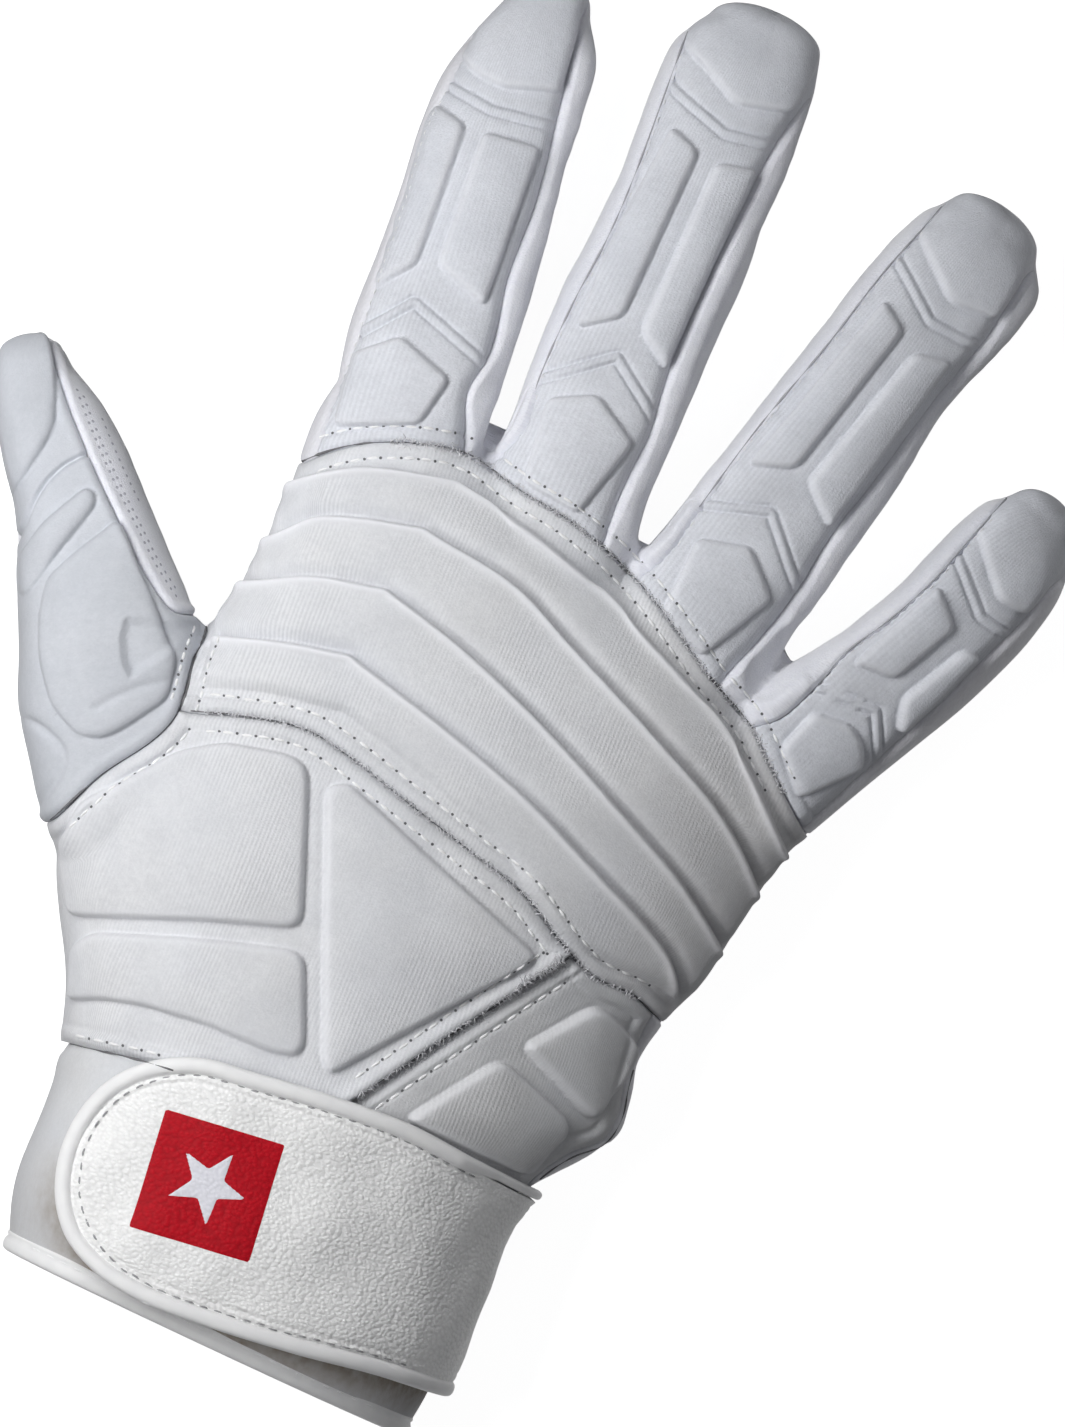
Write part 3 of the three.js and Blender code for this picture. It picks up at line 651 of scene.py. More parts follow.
def quarter(points, normals, tris, marked):
    """Splits every edge between two marked points, with its middle on the curved surface."""
    count = marked[tris].sum(1)
    full, part = tris[count == 3], tris[count == 2]
    odd = (~marked[part]).argmax(1)
    row = np.arange(len(part))
    c, a, b = (part[row, (odd + k) % 3] for k in range(3))
    edges = np.vstack([full[:, [0, 1]], full[:, [1, 2]], full[:, [2, 0]], np.column_stack([a, b])])
    unique, where = np.unique(np.sort(edges, axis=1), axis=0, return_inverse=True)
    where = where.reshape(-1) + len(points)
    start, end = unique.T
    run = points[end] - points[start]
    bulge = normals[end] * (run * normals[end]).sum(1)[:, None]
    bulge -= normals[start] * (run * normals[start]).sum(1)[:, None]
    middle = (points[start] + points[end]) / 2 + bulge / 8
    facing = normals[start] + normals[end]
    facing /= np.linalg.norm(facing, axis=1)[:, None]
    n = len(full)
    ab, bc, ca, cut_edge = where[:n], where[n : 2 * n], where[2 * n : 3 * n], where[3 * n :]
    made = [
        tris[count < 2],
        np.column_stack([full[:, 0], ab, ca]),
        np.column_stack([ab, full[:, 1], bc]),
        np.column_stack([ca, bc, full[:, 2]]),
        np.column_stack([ab, bc, ca]),
        np.column_stack([a, cut_edge, c]),
        np.column_stack([cut_edge, b, c]),
    ]
    return np.vstack([points, middle]), np.vstack([normals, facing]), np.vstack(made)


def fine_part(skin, node, keep, rise, steep):
    """A panel's part of the skin, with fine triangles where the cloth rises or sinks steeply."""
    points, normals, tris = skin
    depth = near_node(points, node, keep)
    points, normals, tris = only_used(points, normals, tris[(depth[tris] > -1).any(1)])
    for slope, beside_seam in steep:
        depth = near_node(points, node, keep)
        height = rise(points, normals, np.maximum(depth, 0))
        ends = np.vstack([tris[:, [0, 1]], tris[:, [1, 2]], tris[:, [2, 0]]])
        run = np.linalg.norm(points[ends[:, 0]] - points[ends[:, 1]], axis=1)
        climb = np.abs(height[ends[:, 0]] - height[ends[:, 1]])
        marked = np.abs(depth) < beside_seam
        marked[ends[climb > slope * run]] = True
        points, normals, tris = quarter(points, normals, tris, marked)
    return points, normals, tris, near_node(points, node, keep)


# %% [markdown]
# A panel has an outside, a rim that turns down into the seam, and a lining on the hand's side. On
# a padded one the lining is coarse, because only its outside has relief. A thin sheet is lined
# with its own triangles, so that both faces keep their distance everywhere.

# %% Build a piece of cloth
SKINS = []  # the finished outer points and triangles of every piece, to lay stitches on
WALL = 2.2


def rim_strip(edge, under):
    """Triangles between the border of the outside and the points under it."""
    first = np.column_stack([edge[:, 1], edge[:, 0], under[:, 0]])
    second = np.column_stack([edge[:, 1], under[:, 0], under[:, 1]])
    return np.vstack([first, second])


def cloth_piece(
    name, node, keep, rise, finish, slot, weave, fill=None, wear_and_shade=None, steep=STEEP, sheet=False
):
    """A panel: keep says where it lies, rise how high it stands, weave how its cloth runs, and
    wear where it is pulled smooth and bright, in part a painted highlight, and where painted shade
    darkens it. A sheet is lined with the outside's own triangles, and so it is one closed body."""
    points, normals, tris, depth = fine_part(FINE, node, keep, rise, steep)
    tris = tris[(depth[tris] > 0).any(1)]
    values, tris = cut(np.column_stack([points, normals, depth]), tris, depth)
    tris = biggest_part(tris, len(values))
    used, tris = np.unique(tris, return_inverse=True)
    values, tris = values[used], tris.reshape(-1, 3)
    base, normal, depth = values[:, :3], values[:, 3:6], np.maximum(values[:, 6], 0)
    normal = normal / np.linalg.norm(normal, axis=1)[:, None]
    top = base + normal * rise(base, normal, depth)[:, None]
    top[:, 2] = np.maximum(top[:, 2], 0)
    SKINS.append((top, tris))

    edge, first = border(tris), len(top)
    if sheet:
        rim, where = np.arange(first), edge
        lining, tris_in = np.zeros((0, 6)), tris + first
    else:
        rim, where = np.unique(edge, return_inverse=True)
        points_in, normals_in, tris_in = COARSE
        depth_in = near_node(points_in, node, keep)
        tris_in = tris_in[(depth_in[tris_in] > 0).any(1)]
        lining, tris_in = cut(np.column_stack([points_in, normals_in]), tris_in, depth_in)
        tris_in = tris_in + first + len(rim)
    where = where.reshape(-1, 2) + first
    under = base[rim] - normal[rim] * WALL
    inner = lining[:, :3] - lining[:, 3:] * WALL
    inner[:, 2] = np.maximum(inner[:, 2], WALL * 0.4)
    everything = np.vstack([top, under, inner])
    everything[:, 2] = np.maximum(everything[:, 2], 0)
    all_tris = np.vstack([tris, rim_strip(edge, where), tris_in[:, ::-1]])
    flat = np.vstack([base, base[rim], lining[:, :3]])
    facing = np.vstack([normal, normal[rim], lining[:, 3:]])
    wear_and_shade_values = np.zeros((len(everything), 3))
    if wear_and_shade is not None:
        wear_and_shade_values[: len(top), :2] = np.column_stack(wear_and_shade(base))
    made = new_object(name, everything, all_tris, finish, weave(flat, facing), wear_and_shade_values)
    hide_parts(node)


# %% [markdown]
# Cloth is never one flat colour. The back is cut from a finely ribbed stretch cloth: ribs about
# 0.7 mm apart, a soft nap that catches light at a grazing angle, and slow changes of tone where
# it is stretched over foam, with a painted highlight on the knuckle ridges. The ribs follow each
# panel, so every mesh carries its own cloth coordinates, across and along the panel in
# millimetres, and the materials read those.

# %% Material helpers
RIB = 0.69


class Recipe:
    """A material with short ways to add and join nodes."""

    def __init__(self, name):
        self.material = bpy.data.materials.new(name)
        self.material.use_nodes = True
        self.tree = self.material.node_tree
        self.shader = self.tree.nodes["Principled BSDF"]

    def node(self, kind, settings=None, **inputs):
        made = self.tree.nodes.new("ShaderNode" + kind)
        for key, value in (settings or {}).items():
            setattr(made, key, value)
        for key, value in inputs.items():
            socket = made.inputs[int(key[1:])] if key[1:].isdigit() else made.inputs[key]
            if isinstance(value, bpy.types.NodeSocket):
                self.tree.links.new(value, socket)
            else:
                socket.default_value = value
        return made

    def maths(self, operation, a, b=0.0, c=0.0, clamp=False):
        settings = {"operation": operation, "use_clamp": clamp}
        return self.node("Math", settings, i0=a, i1=b, i2=c).outputs[0]

    def cloth(self, across=1.0, along=1.0, up=1.0):
        """The panel's own coordinates, scaled."""
        source = self.node("Attribute", {"attribute_name": "cloth"}).outputs["Vector"]
        scale = self.node("VectorMath", {"operation": "MULTIPLY"}, i0=source)
        scale.inputs[1].default_value = (across, along, up)
        return scale.outputs[0]

    def noise(self, vector, scale, detail=2.0):
        return self.node("TexNoise", None, Vector=vector, Scale=scale, Detail=detail).outputs[0]

    def blend(self, share, low, high):
        mix = self.node("Mix", {"data_type": "RGBA"}, i0=share)
        for number, colour in ((6, low), (7, high)):
            if isinstance(colour, bpy.types.NodeSocket):
                self.tree.links.new(colour, mix.inputs[number])
            else:
                mix.inputs[number].default_value = (*colour, 1)
        return mix.outputs[2]

    def bump(self, height, distance, strength=1.0, normal=None):
        made = self.node("Bump", None, Height=height, Distance=distance * MM, Strength=strength)
        if normal is not None:
            self.tree.links.new(normal, made.inputs["Normal"])
        return made.outputs[0]

    def finish(self, colour, rough, normal=None, **settings):
        for socket, value in (("Base Color", colour), ("Roughness", rough), ("Normal", normal)):
            if isinstance(value, bpy.types.NodeSocket):
                self.tree.links.new(value, self.shader.inputs[socket])
            elif value is not None:
                self.shader.inputs[socket].default_value = value
        for key, value in settings.items():
            self.shader.inputs[key.replace("_", " ")].default_value = value
        return self.material


# %% [markdown]
# The ribbed cloth mixes a sine wave across the panel with fine fibres and broad patches. Marks
# are blended in last: cloth pulled smooth over an edge is brighter and loses its ribs, the knuckle
# ridges are painted bright as a highlight in the same way, and painted shade is brown and spotty.
# White cloth looks grey unless its shadows stay cool, so some patches lean to blue.

# %% Cloth materials
PULLED_AND_HIGHLIGHT = (0.86, 0.865, 0.90)  # cloth pulled smooth over an edge, and the painted highlight on the knuckle ridges
COOL = (0.66, 0.69, 0.76)
# Painted shade: brown on the cuff along the strap's lower edge, grey-brown over the outer side.
PAINTED_BROWN_SHADE = (0.30, 0.25, 0.20)


def ribbed_cloth(name, light, dark, ribs, nap=1.0, sheen=0.15):
    """Fine even ribs that come and go, a nap, cool patches, pulled places with some painted
    highlight, and painted shade.
    """
    recipe = Recipe(name)
    across = recipe.node("SeparateXYZ", None, Vector=recipe.cloth()).outputs[0]
    marks = recipe.node("Attribute", {"attribute_name": "wear_and_shade"}).outputs["Vector"]
    pulled_and_highlight, painted_shade = recipe.node("SeparateXYZ", None, Vector=marks).outputs[:2]
    stray = recipe.noise(recipe.cloth(1, 0.25), 0.12, 2)
    bent = recipe.maths("MULTIPLY_ADD", stray, 0.9, across)
    wave = recipe.maths("SINE", recipe.maths("MULTIPLY", bent, 2 * math.pi / RIB))
    patchy = recipe.noise(recipe.cloth(1, 0.6), 0.07, 3)
    shown = recipe.maths("MULTIPLY_ADD", patchy, 3.6, -1.2, clamp=True)
    plain = recipe.maths("SUBTRACT", 1.0, pulled_and_highlight)
    strength = recipe.maths("MULTIPLY", recipe.maths("MULTIPLY", shown, wave), plain)
    fibres = recipe.noise(recipe.cloth(), 3.2, 5)
    specks = recipe.noise(recipe.cloth(), 1.1, 4)
    height = recipe.maths("MULTIPLY_ADD", strength, 0.16 * ribs, recipe.maths("MULTIPLY", fibres, nap))
    tone = recipe.maths("MULTIPLY_ADD", strength, 0.45 * ribs, recipe.noise(recipe.cloth(), 0.15, 3))
    tone = recipe.maths("MULTIPLY_ADD", fibres, 1.1, recipe.maths("SUBTRACT", tone, 1.05))
    tone = recipe.maths("ADD", tone, specks)
    colour = recipe.blend(tone, dark, light)
    cool = recipe.maths("MULTIPLY", recipe.noise(recipe.cloth(), 0.045, 2), 0.55)
    colour = recipe.blend(cool, colour, COOL)
    # Pulled places and a painted highlight, then a mottled painted shade.
    colour = recipe.blend(pulled_and_highlight, colour, PULLED_AND_HIGHLIGHT)
    spots = recipe.maths("MULTIPLY_ADD", recipe.noise(recipe.cloth(), 0.5, 4), 1.2, 0.3)
    colour = recipe.blend(recipe.maths("MULTIPLY", painted_shade, spots, clamp=True), colour, PAINTED_BROWN_SHADE)
    rough = recipe.maths("MULTIPLY_ADD", fibres, 0.15, 0.8)
    normal = recipe.bump(height, 0.09)
    return recipe.finish(colour, rough, normal, Sheen_Weight=sheen, Specular_IOR_Level=0.3)


PADDED_CLOTH = ribbed_cloth("padded_cloth", (0.82, 0.82, 0.825), (0.64, 0.64, 0.65), 1.0)
# A darker copy of the padded cloth: painted shade for the outer side, which faces away from the light.
SHADED_OUTER_CLOTH = ribbed_cloth("shaded_outer_cloth", (0.69, 0.69, 0.69), (0.53, 0.53, 0.53), 1.0)
FINGER_CLOTH = ribbed_cloth("finger_cloth", (0.81, 0.825, 0.87), (0.62, 0.63, 0.67), 0.6, 1.5)
# The thumb's cloth is painted darker, as shade that offsets the close key light on the thumb's side.
SHADED_THUMB_CLOTH = ribbed_cloth("shaded_thumb_cloth", (0.61, 0.625, 0.66), (0.50, 0.52, 0.555), 0.0, 0.6)
SIDE_CLOTH = ribbed_cloth("side_cloth", (0.97, 0.97, 1.0), (0.80, 0.80, 0.87), 0.25, 1.6, 0.9)
CUFF_CLOTH = ribbed_cloth("cuff_cloth", (0.73, 0.73, 0.73), (0.62, 0.62, 0.62), 0.0, 0.7)


# %% [markdown]
# Leather has a grain of small rounded cells. Cells from a Voronoi pattern are too regular by
# themselves, so noise bends them first. The palm's goatskin is fine and even, the strap's coated
# leather is coarser and shinier, and the print lies on the same grain.


# %% Leather
def grained_leather(name, light, dark, cell, stretch, depth, rough_low, shine=0.35):
    """Pebbled leather: rounded cells with fine wrinkles between them."""
    recipe = Recipe(name)
    vector = recipe.cloth(1 / (cell * stretch), 1 / cell, 1 / cell)
    warp = recipe.node("TexNoise", None, Vector=vector, Scale=0.8, Detail=2).outputs[1]
    mixed = recipe.node("VectorMath", {"operation": "MULTIPLY_ADD"}, i0=warp, i2=vector)
    mixed.inputs[1].default_value = (0.3, 0.3, 0.3)
    cells = recipe.node("TexVoronoi", {"feature": "SMOOTH_F1"}, Vector=mixed.outputs[0], Scale=1.0)
    cells.inputs["Smoothness"].default_value = 0.2
    pebble = recipe.maths("SUBTRACT", 1.0, cells.outputs["Distance"])
    fine = recipe.noise(vector, 2.5, 3)
    height = recipe.maths("MULTIPLY_ADD", fine, 0.3, pebble)
    tone = recipe.maths("MULTIPLY_ADD", recipe.noise(vector, 0.1, 2), 0.4, pebble)
    colour = recipe.blend(tone, dark, light)
    rough = recipe.maths("MULTIPLY_ADD", fine, 0.2, rough_low)
    normal = recipe.bump(height, depth)
    return recipe.finish(colour, rough, normal, Specular_IOR_Level=shine)


PALM_LEATHER = grained_leather(
    "palm_leather", (0.78, 0.78, 0.82), (0.70, 0.70, 0.74), 0.7, 1.0, 0.08, 0.55
)
STRAP_LEATHER = grained_leather(
    "strap_leather", (0.97, 0.97, 0.965), (0.77, 0.77, 0.77), 0.6, 1.2, 0.2, 0.4
)
BINDING_LEATHER = grained_leather(
    "binding_leather", (0.88, 0.88, 0.88), (0.82, 0.82, 0.83), 2.0, 1.5, 0.05, 0.38
)
PRINT_GRAIN = (0.64, 1.15, 0.13, 0.5, 0.15)
RED_PRINT = grained_leather("red_print", (0.52, 0.004, 0.014), (0.34, 0.003, 0.010), *PRINT_GRAIN)
WHITE_PRINT = grained_leather("white_print", (0.82, 0.82, 0.88), (0.68, 0.68, 0.74), *PRINT_GRAIN)

# %% [markdown]
# Threads, holes and the shade in seams are too thin for a weave of their own. One plain finish
# with a little unevenness serves for all of them, in their own shades.


# %% Threads, holes and shade
def plain_finish(name, light, dark, scale, rough, depth):
    """A matt finish with slightly uneven tone."""
    recipe = Recipe(name)
    spots = recipe.noise(recipe.cloth(), scale, 3)
    colour = recipe.blend(spots, dark, light)
    return recipe.finish(colour, rough, recipe.bump(spots, depth))


THREAD = plain_finish("thread", (0.86, 0.86, 0.87), (0.70, 0.70, 0.72), 3.0, 0.6, 0.1)
PALE_THREAD = plain_finish("pale_thread", (0.95, 0.95, 0.95), (0.86, 0.86, 0.87), 3.0, 0.6, 0.1)
GREY_THREAD = plain_finish("grey_thread", (0.42, 0.42, 0.43), (0.28, 0.28, 0.29), 3.0, 0.7, 0.1)
# Needle holes and the gusset's open holes are discs painted dark and grey: painted shade in holes.
NEEDLE_HOLE_SHADE = plain_finish("needle_hole_shade", (0.16, 0.16, 0.165), (0.09, 0.09, 0.1), 2.0, 0.9, 0.05)
MESH_HOLE_SHADE = plain_finish("mesh_hole_shade", (0.50, 0.50, 0.56), (0.42, 0.42, 0.48), 2.0, 0.9, 0.05)
FUZZ = plain_finish("loose_fibre", (0.88, 0.88, 0.9), (0.6, 0.6, 0.63), 3.0, 0.8, 0.05)
SEAM_SHADE = plain_finish("seam_shade", (0.22, 0.22, 0.23), (0.12, 0.12, 0.125), 1.2, 0.9, 0.05)
FINGER_SHADE = plain_finish("finger_shade", (0.52, 0.52, 0.55), (0.36, 0.36, 0.38), 1.2, 0.9, 0.05)
print(len(bpy.data.materials), "materials")

# %% [markdown]
# Now the heights. A seam's edge turns down into the seam, puffs up a little behind it, and sinks
# again under the row of stitches. A pad rises over a rounded shoulder and stays slightly crowned.
# Small pulls and waves, the same on every run, keep the cloth from looking machined.


# %% Height of the cloth near seams and pads
def waves(plan, seed, size, count=10):
    """Slow unevenness between about -1 and 1."""
    rng = np.random.default_rng(seed)
    total = np.zeros(len(plan))
    for _ in range(count):
        angle, phase = rng.uniform(0, 2 * np.pi, 2)
        length = size * rng.uniform(0.6, 1.6)
        run = plan[:, 0] * math.cos(angle) + plan[:, 1] * math.sin(angle)
        total += np.sin(2 * np.pi * run / length + phase)
    return total / count**0.5


def bell(distance, width):
    """One at no distance, falling to nothing beyond about two widths."""
    return np.exp(-((distance / width) ** 2))


def sunk(distance, depth, width, power=1.5):
    """How cloth sinks towards a seam, by depth at the seam and from width away."""
    return -depth * np.clip(1 - distance / width, 0, 1) ** power


def on_back(normals, sharpness):
    """One on the back of the glove, falling off where it turns over its side."""
    return np.clip(sharpness * normals[:, 2], 0.15, 1)


def seam_edge(depth, sink=1.7, turn=1.3, puff=0.45, row=0.35, row_at=3.2):
    """How the cloth stands near the edge of its panel."""
    return sunk(depth, sink, turn, 2) + puff * bell(depth - 1.9, 0.9) - row * bell(depth - row_at, 0.5)


def pad_height(depth, height=2.0, shoulder=1.2, crown=0.6):
    """A foam pad: a rounded shoulder, a slow crown, and a shallow ditch round its foot."""
    rise = np.clip(depth / shoulder, 0, 1)
    dome = np.sqrt(1 - (1 - rise) ** 2)
    swell = 1 - np.exp(-np.clip(depth, 0, None) / 4)
    return (height - crown) * dome + crown * swell - 0.22 * bell(depth + 0.3, 0.4)


def lip(depth, normals, sink=1.0, turn=0.9, puff=0.15, row=0.3, row_at=2.7):
    """A flat stitched lip, which lies down smoothly where the glove turns over its side."""
    return seam_edge(depth, sink, turn, puff, row, row_at) * on_back(normals, 2.4)


def pulled_round(plan, outlines, width=0.8):
    """Where the cloth is pulled smooth over the shoulders of pads."""
    return sum(bell(inside(plan, outline) - 0.5, width) for outline in outlines)


def side_fade(points, normals):
    """Pads thin out towards the side seam, and where the glove turns over its side."""
    high = np.clip((points[:, 2] - SIDE_SEAM_Z - 1.5) / 6, 0, 1)
    return high * np.clip(2.2 * normals[:, 2] - 0.1, 0.15, 1)


def groove(plan, line, width, depth):
    """A narrow line pressed or sewn into the cloth."""
    return -depth * bell(left_of(plan, line), width)


def double_welt(plan, line, spread=0.95, width=0.36, depth=0.55, ridge=0.2):
    """Two fine grooves with a small ridge between them, where a finger bends."""
    far = left_of(plan, line)
    pair = bell(far - spread, width) + bell(far + spread, width)
    return ridge * bell(far, 0.5) - depth * pair


# %% [markdown]
# The weave is a second set of coordinates. On a finger the ribs run along it and their spacing is
# measured round it. On the hand they run straight, and past the side they go on down it, or else
# they would smear into long streaks.


# %% How the ribs run
BACK_Z = 38  # the middle of the back of the hand


def ribs_along_finger(name):
    """Cloth coordinates that run round and along a finger."""
    _, left, right, low, high = FINGERS[name]["rows"][3]
    centre = (low + high) / 2
    reach = (left + right) / 2

    def weave(points, normals):
        s, t = finger_place(name, points[:, :2])
        girth = np.arctan2(t / reach, np.maximum((points[:, 2] - centre) / 11, -0.2)) * reach
        return np.column_stack([girth, s, points[:, 2]])

    return weave


def ribs_along_hand(points, normals):
    """Cloth coordinates that run straight over the back and on down its sides."""
    steep = np.clip((np.abs(normals[:, 0]) - 0.45) / 0.35, 0, 1)
    down = (BACK_Z - points[:, 2]) * np.sign(normals[:, 0]) * steep
    return np.column_stack([points[:, 0] + down, points[:, 1], points[:, 2]])


# %% [markdown]
# Each finger's back carries a knuckle pad, two long pads side by side, and a tip pad. Fine
# double welts cross the finger between them, so that it can bend. The corners below are in the
# finger's own s and t, in millimetres.

# %% Finger pads and welts
FINGER_PADS = {
    "index": [
        [(68.5, -16), (62.6, -8.3), (61.3, -2.9), (63.6, 7.4), (74, 7.6), (90, 6), (90, -16)],
        [(56.2, -15), (55.1, -11), (53.4, -6.1), (28.3, -6.8), (22, -12.7), (20, -15)],
        [(53.3, -3.1), (53.7, 6.9), (24.8, 6.1), (29.3, -3.6)],
        [(10.8, -12.7), (15.9, -5.6), (11.4, 4.4), (2.4, 1.8), (-2.3, -12)],
    ],
    "middle": [
        [(76, -16), (72.4, -7.6), (68.4, 0), (71.2, 9.4), (80, 10.4), (92, 11), (92, -16)],
        [(61.1, -8.2), (58.7, -2.2), (27.6, -2.7), (22.8, -9.2), (39.3, -9.9)],
        [(58.2, 1.1), (60, 8.3), (22.2, 7.8), (26.7, 1)],
        [(10, -8.9), (14, -1.3), (8.7, 7.6), (-6, 3.8), (-4.8, -7)],
    ],
    "ring": [
        [(75.5, -14), (70.9, -7.6), (66, 1.7), (68.4, 10), (78.4, 10.4), (92, 10), (92, -14)],
        [(59.9, -7.4), (57.3, -1.6), (27.5, -2.4), (23.1, -9.4)],
        [(55.5, 1.9), (58.1, 8), (22.6, 8.1), (27.1, 0.4)],
        [(8.2, -8.9), (12.4, -0.7), (7.2, 7.5), (-7.5, 3.8), (-5.8, -6.2)],
    ],
    "little": [
        [(50.5, -12), (47, -4.8), (43.2, 2.9), (45.2, 8.2), (57, 7), (74, 6), (74, -12)],
        [(37.8, -6.1), (34.6, 1.3), (21.3, 0.4), (17.8, -6.6)],
        [(33.4, 4.6), (34.6, 8), (16, 8.2), (15.6, 6.6), (20, 3.4)],
        [(7.5, -5.4), (10.6, 0.8), (9.8, 4.6), (6.9, 7.6), (-4.7, 3.6), (-0.8, -4.9)],
    ],
}
# Upper and lower welts of each finger, from its left seam to its right seam.
FINGER_WELTS = {
    "index": [
        [(61, -15), (59.5, -11.7), (57.4, -3), (58.2, 9), (58.6, 12)],
        [(12, -16), (14.1, -13.5), (22.2, -5.4), (18.6, 3), (15.6, 9.8), (14.6, 12)],
    ],
    "middle": [
        [(69, -15), (67.3, -11.3), (63.5, 0.4), (65, 9.3), (65.6, 12)],
        [(11, -14), (13, -11.2), (21.2, -0.9), (13.4, 10.2), (12, 12)],
    ],
    "ring": [
        [(68, -13), (66.7, -10), (61.5, 1.2), (63.1, 11.2), (63.6, 13)],
        [(12, -14), (13.6, -11.4), (19.2, -1.4), (11.1, 10.8), (10, 13)],
    ],
    "little": [
        [(44.4, -10), (43.4, -7.2), (39.3, 2.9), (40.8, 11)],
        [(9, -10), (10.5, -8), (15.2, 2), (9.4, 9.4), (8.4, 11)],
    ],
}


# %% [markdown]
# The cloth sinks into the seam on both sides of a finger. Small stitches pucker the left one, and
# the right one lies lower, under the soft roll. The rest is pads, welts and a little unevenness.

# %% Finger backs
SEAM_PITCH = 1.9  # the small stitches along a finger's left seam


def finger_outline(name, corners, radius):
    """A pad's outline in plan, from corners in a finger's own s and t."""
    return round_corners(on_finger(name, corners), radius)


def between(left, right):
    """A panel between two seams, above the knuckle seam and above the palm."""
    low = np.minimum(left.min(0), right.min(0)) - 4
    high = np.maximum(left.max(0), right.max(0)) + 4

    def keep(points):
        near = ((points[:, :2] > low) & (points[:, :2] < high)).all(1)
        depth = np.full(len(points), -9.0)
        plan, z = points[near, :2], points[near, 2]
        across = least(-left_of(plan, left), left_of(plan, right))
        depth[near] = least(across, left_of(plan, KNUCKLE_SEAM), z - SIDE_SEAM_Z)
        return depth

    return keep


def finger_rise(name):
    """Heights and wear of a finger's back."""
    pads = [finger_outline(name, corners, 1.6) for corners in FINGER_PADS[name]]
    welts = [smooth_line(on_finger(name, keep_corner(w, 2, 1.2)), 0.8) for w in FINGER_WELTS[name]]
    left, right = FINGER_LINES[name, "left"], FINGER_LINES[name, "right"]

    def rise(points, normals, depth):
        plan = points[:, :2]
        from_left, along = measure(plan, left)
        from_right = left_of(plan, right)
        pucker = 0.9 + 0.35 * np.sin(2 * np.pi * along / SEAM_PITCH)
        height = sunk(-from_left, pucker, 0.6) + sunk(from_right, 1.2, 2.8)
        height *= on_back(normals, 2.2)
        height += lip(left_of(plan, KNUCKLE_SEAM), normals)
        pad = sum(pad_height(inside(plan, outline), 1.9, 1.3) for outline in pads)
        middle = np.clip(-from_left / 2.5, 0, 1) * np.clip(from_right / 1.5, 0, 1)
        height += pad * side_fade(points, normals) * middle**0.5
        for welt in welts:
            height += double_welt(plan, welt) * np.clip(from_right / 2, 0, 1)
        return height + 0.12 * waves(plan, 3, 14) + 0.12 * waves(plan, 5, 5) * bell(from_left, 2.5)

    def wear_and_shade(points):
        return pulled_round(points[:, :2], pads, 0.6) * 0.35, np.zeros(len(points))

    return rise, wear_and_shade


for finger in ("index", "middle", "ring", "little"):
    rise, wear_and_shade = finger_rise(finger)
    keep = between(FINGER_LINES[finger, "left"], FINGER_LINES[finger, "right"])
    weave = ribs_along_finger(finger)
    name = finger + "_back"
    cloth_piece(name + "_cloth", name, keep, rise, FINGER_CLOTH, "padded_cloth", weave, 0.7, wear_and_shade)

# %% [markdown]
# Between two fingers runs a fourchette, the narrow strip that gives a glove's finger its depth.
# On this glove it shows as a soft rolled edge along the right side of each finger, and as a
# smooth strip along the left side of the next one. Both are the same piece, bent over the web.


# %% The soft rolls
# The soft roll runs down beside each finger's right seam and round the web, as a U.
WEB_TURNS = {
    "index": [(-10.2, 48), (-11.1, 44), (-11.1, 40.4), (-8.9, 37.3), (-5.6, 38.4), (-4.7, 42.5), (-4.3, 48)],
    "middle": [(18.2, 41), (17.8, 36), (18.8, 32.4), (21.2, 30), (24.4, 30.6), (26.4, 34.4), (27.8, 40)],
    "ring": [(44.6, 26), (44.6, 20), (46.2, 15.4), (48.8, 13), (51.6, 13.2), (54.4, 16.4), (57.6, 22)],
}
ROLL_IN = 2.1  # from the seam to the middle of the roll


def roll_line(left_name):
    """The middle of the roll in plan: beside one finger's seam, round the web, up the next."""
    turn = smooth_line(WEB_TURNS[left_name])
    beside = FINGER_LINES[left_name, "right"]
    s, _ = finger_place(left_name, beside)
    top, _ = finger_place(left_name, turn[:1])
    beside = beside - leftward(beside) * ROLL_IN
    return smooth_line(np.vstack([beside[s > top[0] + 3][::-3], turn[::3]]))


# %% [markdown]
# A fourchette is cut between the right seam of one finger and the left seam of the next. Its roll
# is a ridge along the line made above, which fades before the fingertip.


# %% Fourchettes
def fourchette_rise(left_name, right_name):
    """Heights of a fourchette: sunk seams, the roll, and a soft edge beside the next finger."""
    left, right = FINGER_LINES[left_name, "right"], FINGER_LINES[right_name, "left"]
    middle = roll_line(left_name)
    tip = FINGERS[left_name]["rows"][-1][0]

    def rise(points, normals, depth):
        plan = points[:, :2]
        from_left, from_right = -left_of(plan, left), left_of(plan, right)
        height = sunk(from_left, 0.9, 0.6) + sunk(from_right, 1.0, 0.6)
        height *= on_back(normals, 2.2)
        height += lip(left_of(plan, KNUCKLE_SEAM), normals)
        roll = bell(left_of(plan, middle), 1.6) * np.clip(2.6 * normals[:, 2], 0, 1)
        roll *= np.clip((tip - finger_place(left_name, plan)[0]) / 9, 0, 1)
        height += 1.15 * roll + 0.3 * bell(from_right - 1.6, 1.0) * (roll < 0.3)
        return height + 0.08 * waves(plan, 7, 11) + 0.07 * waves(plan, 8, 4) * roll

    return rise


for left, right in (("index", "middle"), ("middle", "ring"), ("ring", "little")):
    name = f"fourchette_{left}_{right}"
    keep = between(FINGER_LINES[left, "right"], FINGER_LINES[right, "left"])
    rise, weave = fourchette_rise(left, right), ribs_along_finger(left)
    cloth_piece(name + "_cloth", name, keep, rise, SIDE_CLOTH, "side_cloth", weave)

# %% [markdown]
# Four curved bands lie across the knuckles like shingles, with deep grooves between them. They
# are one panel of foam pressed into shape, so they are one piece here as well.

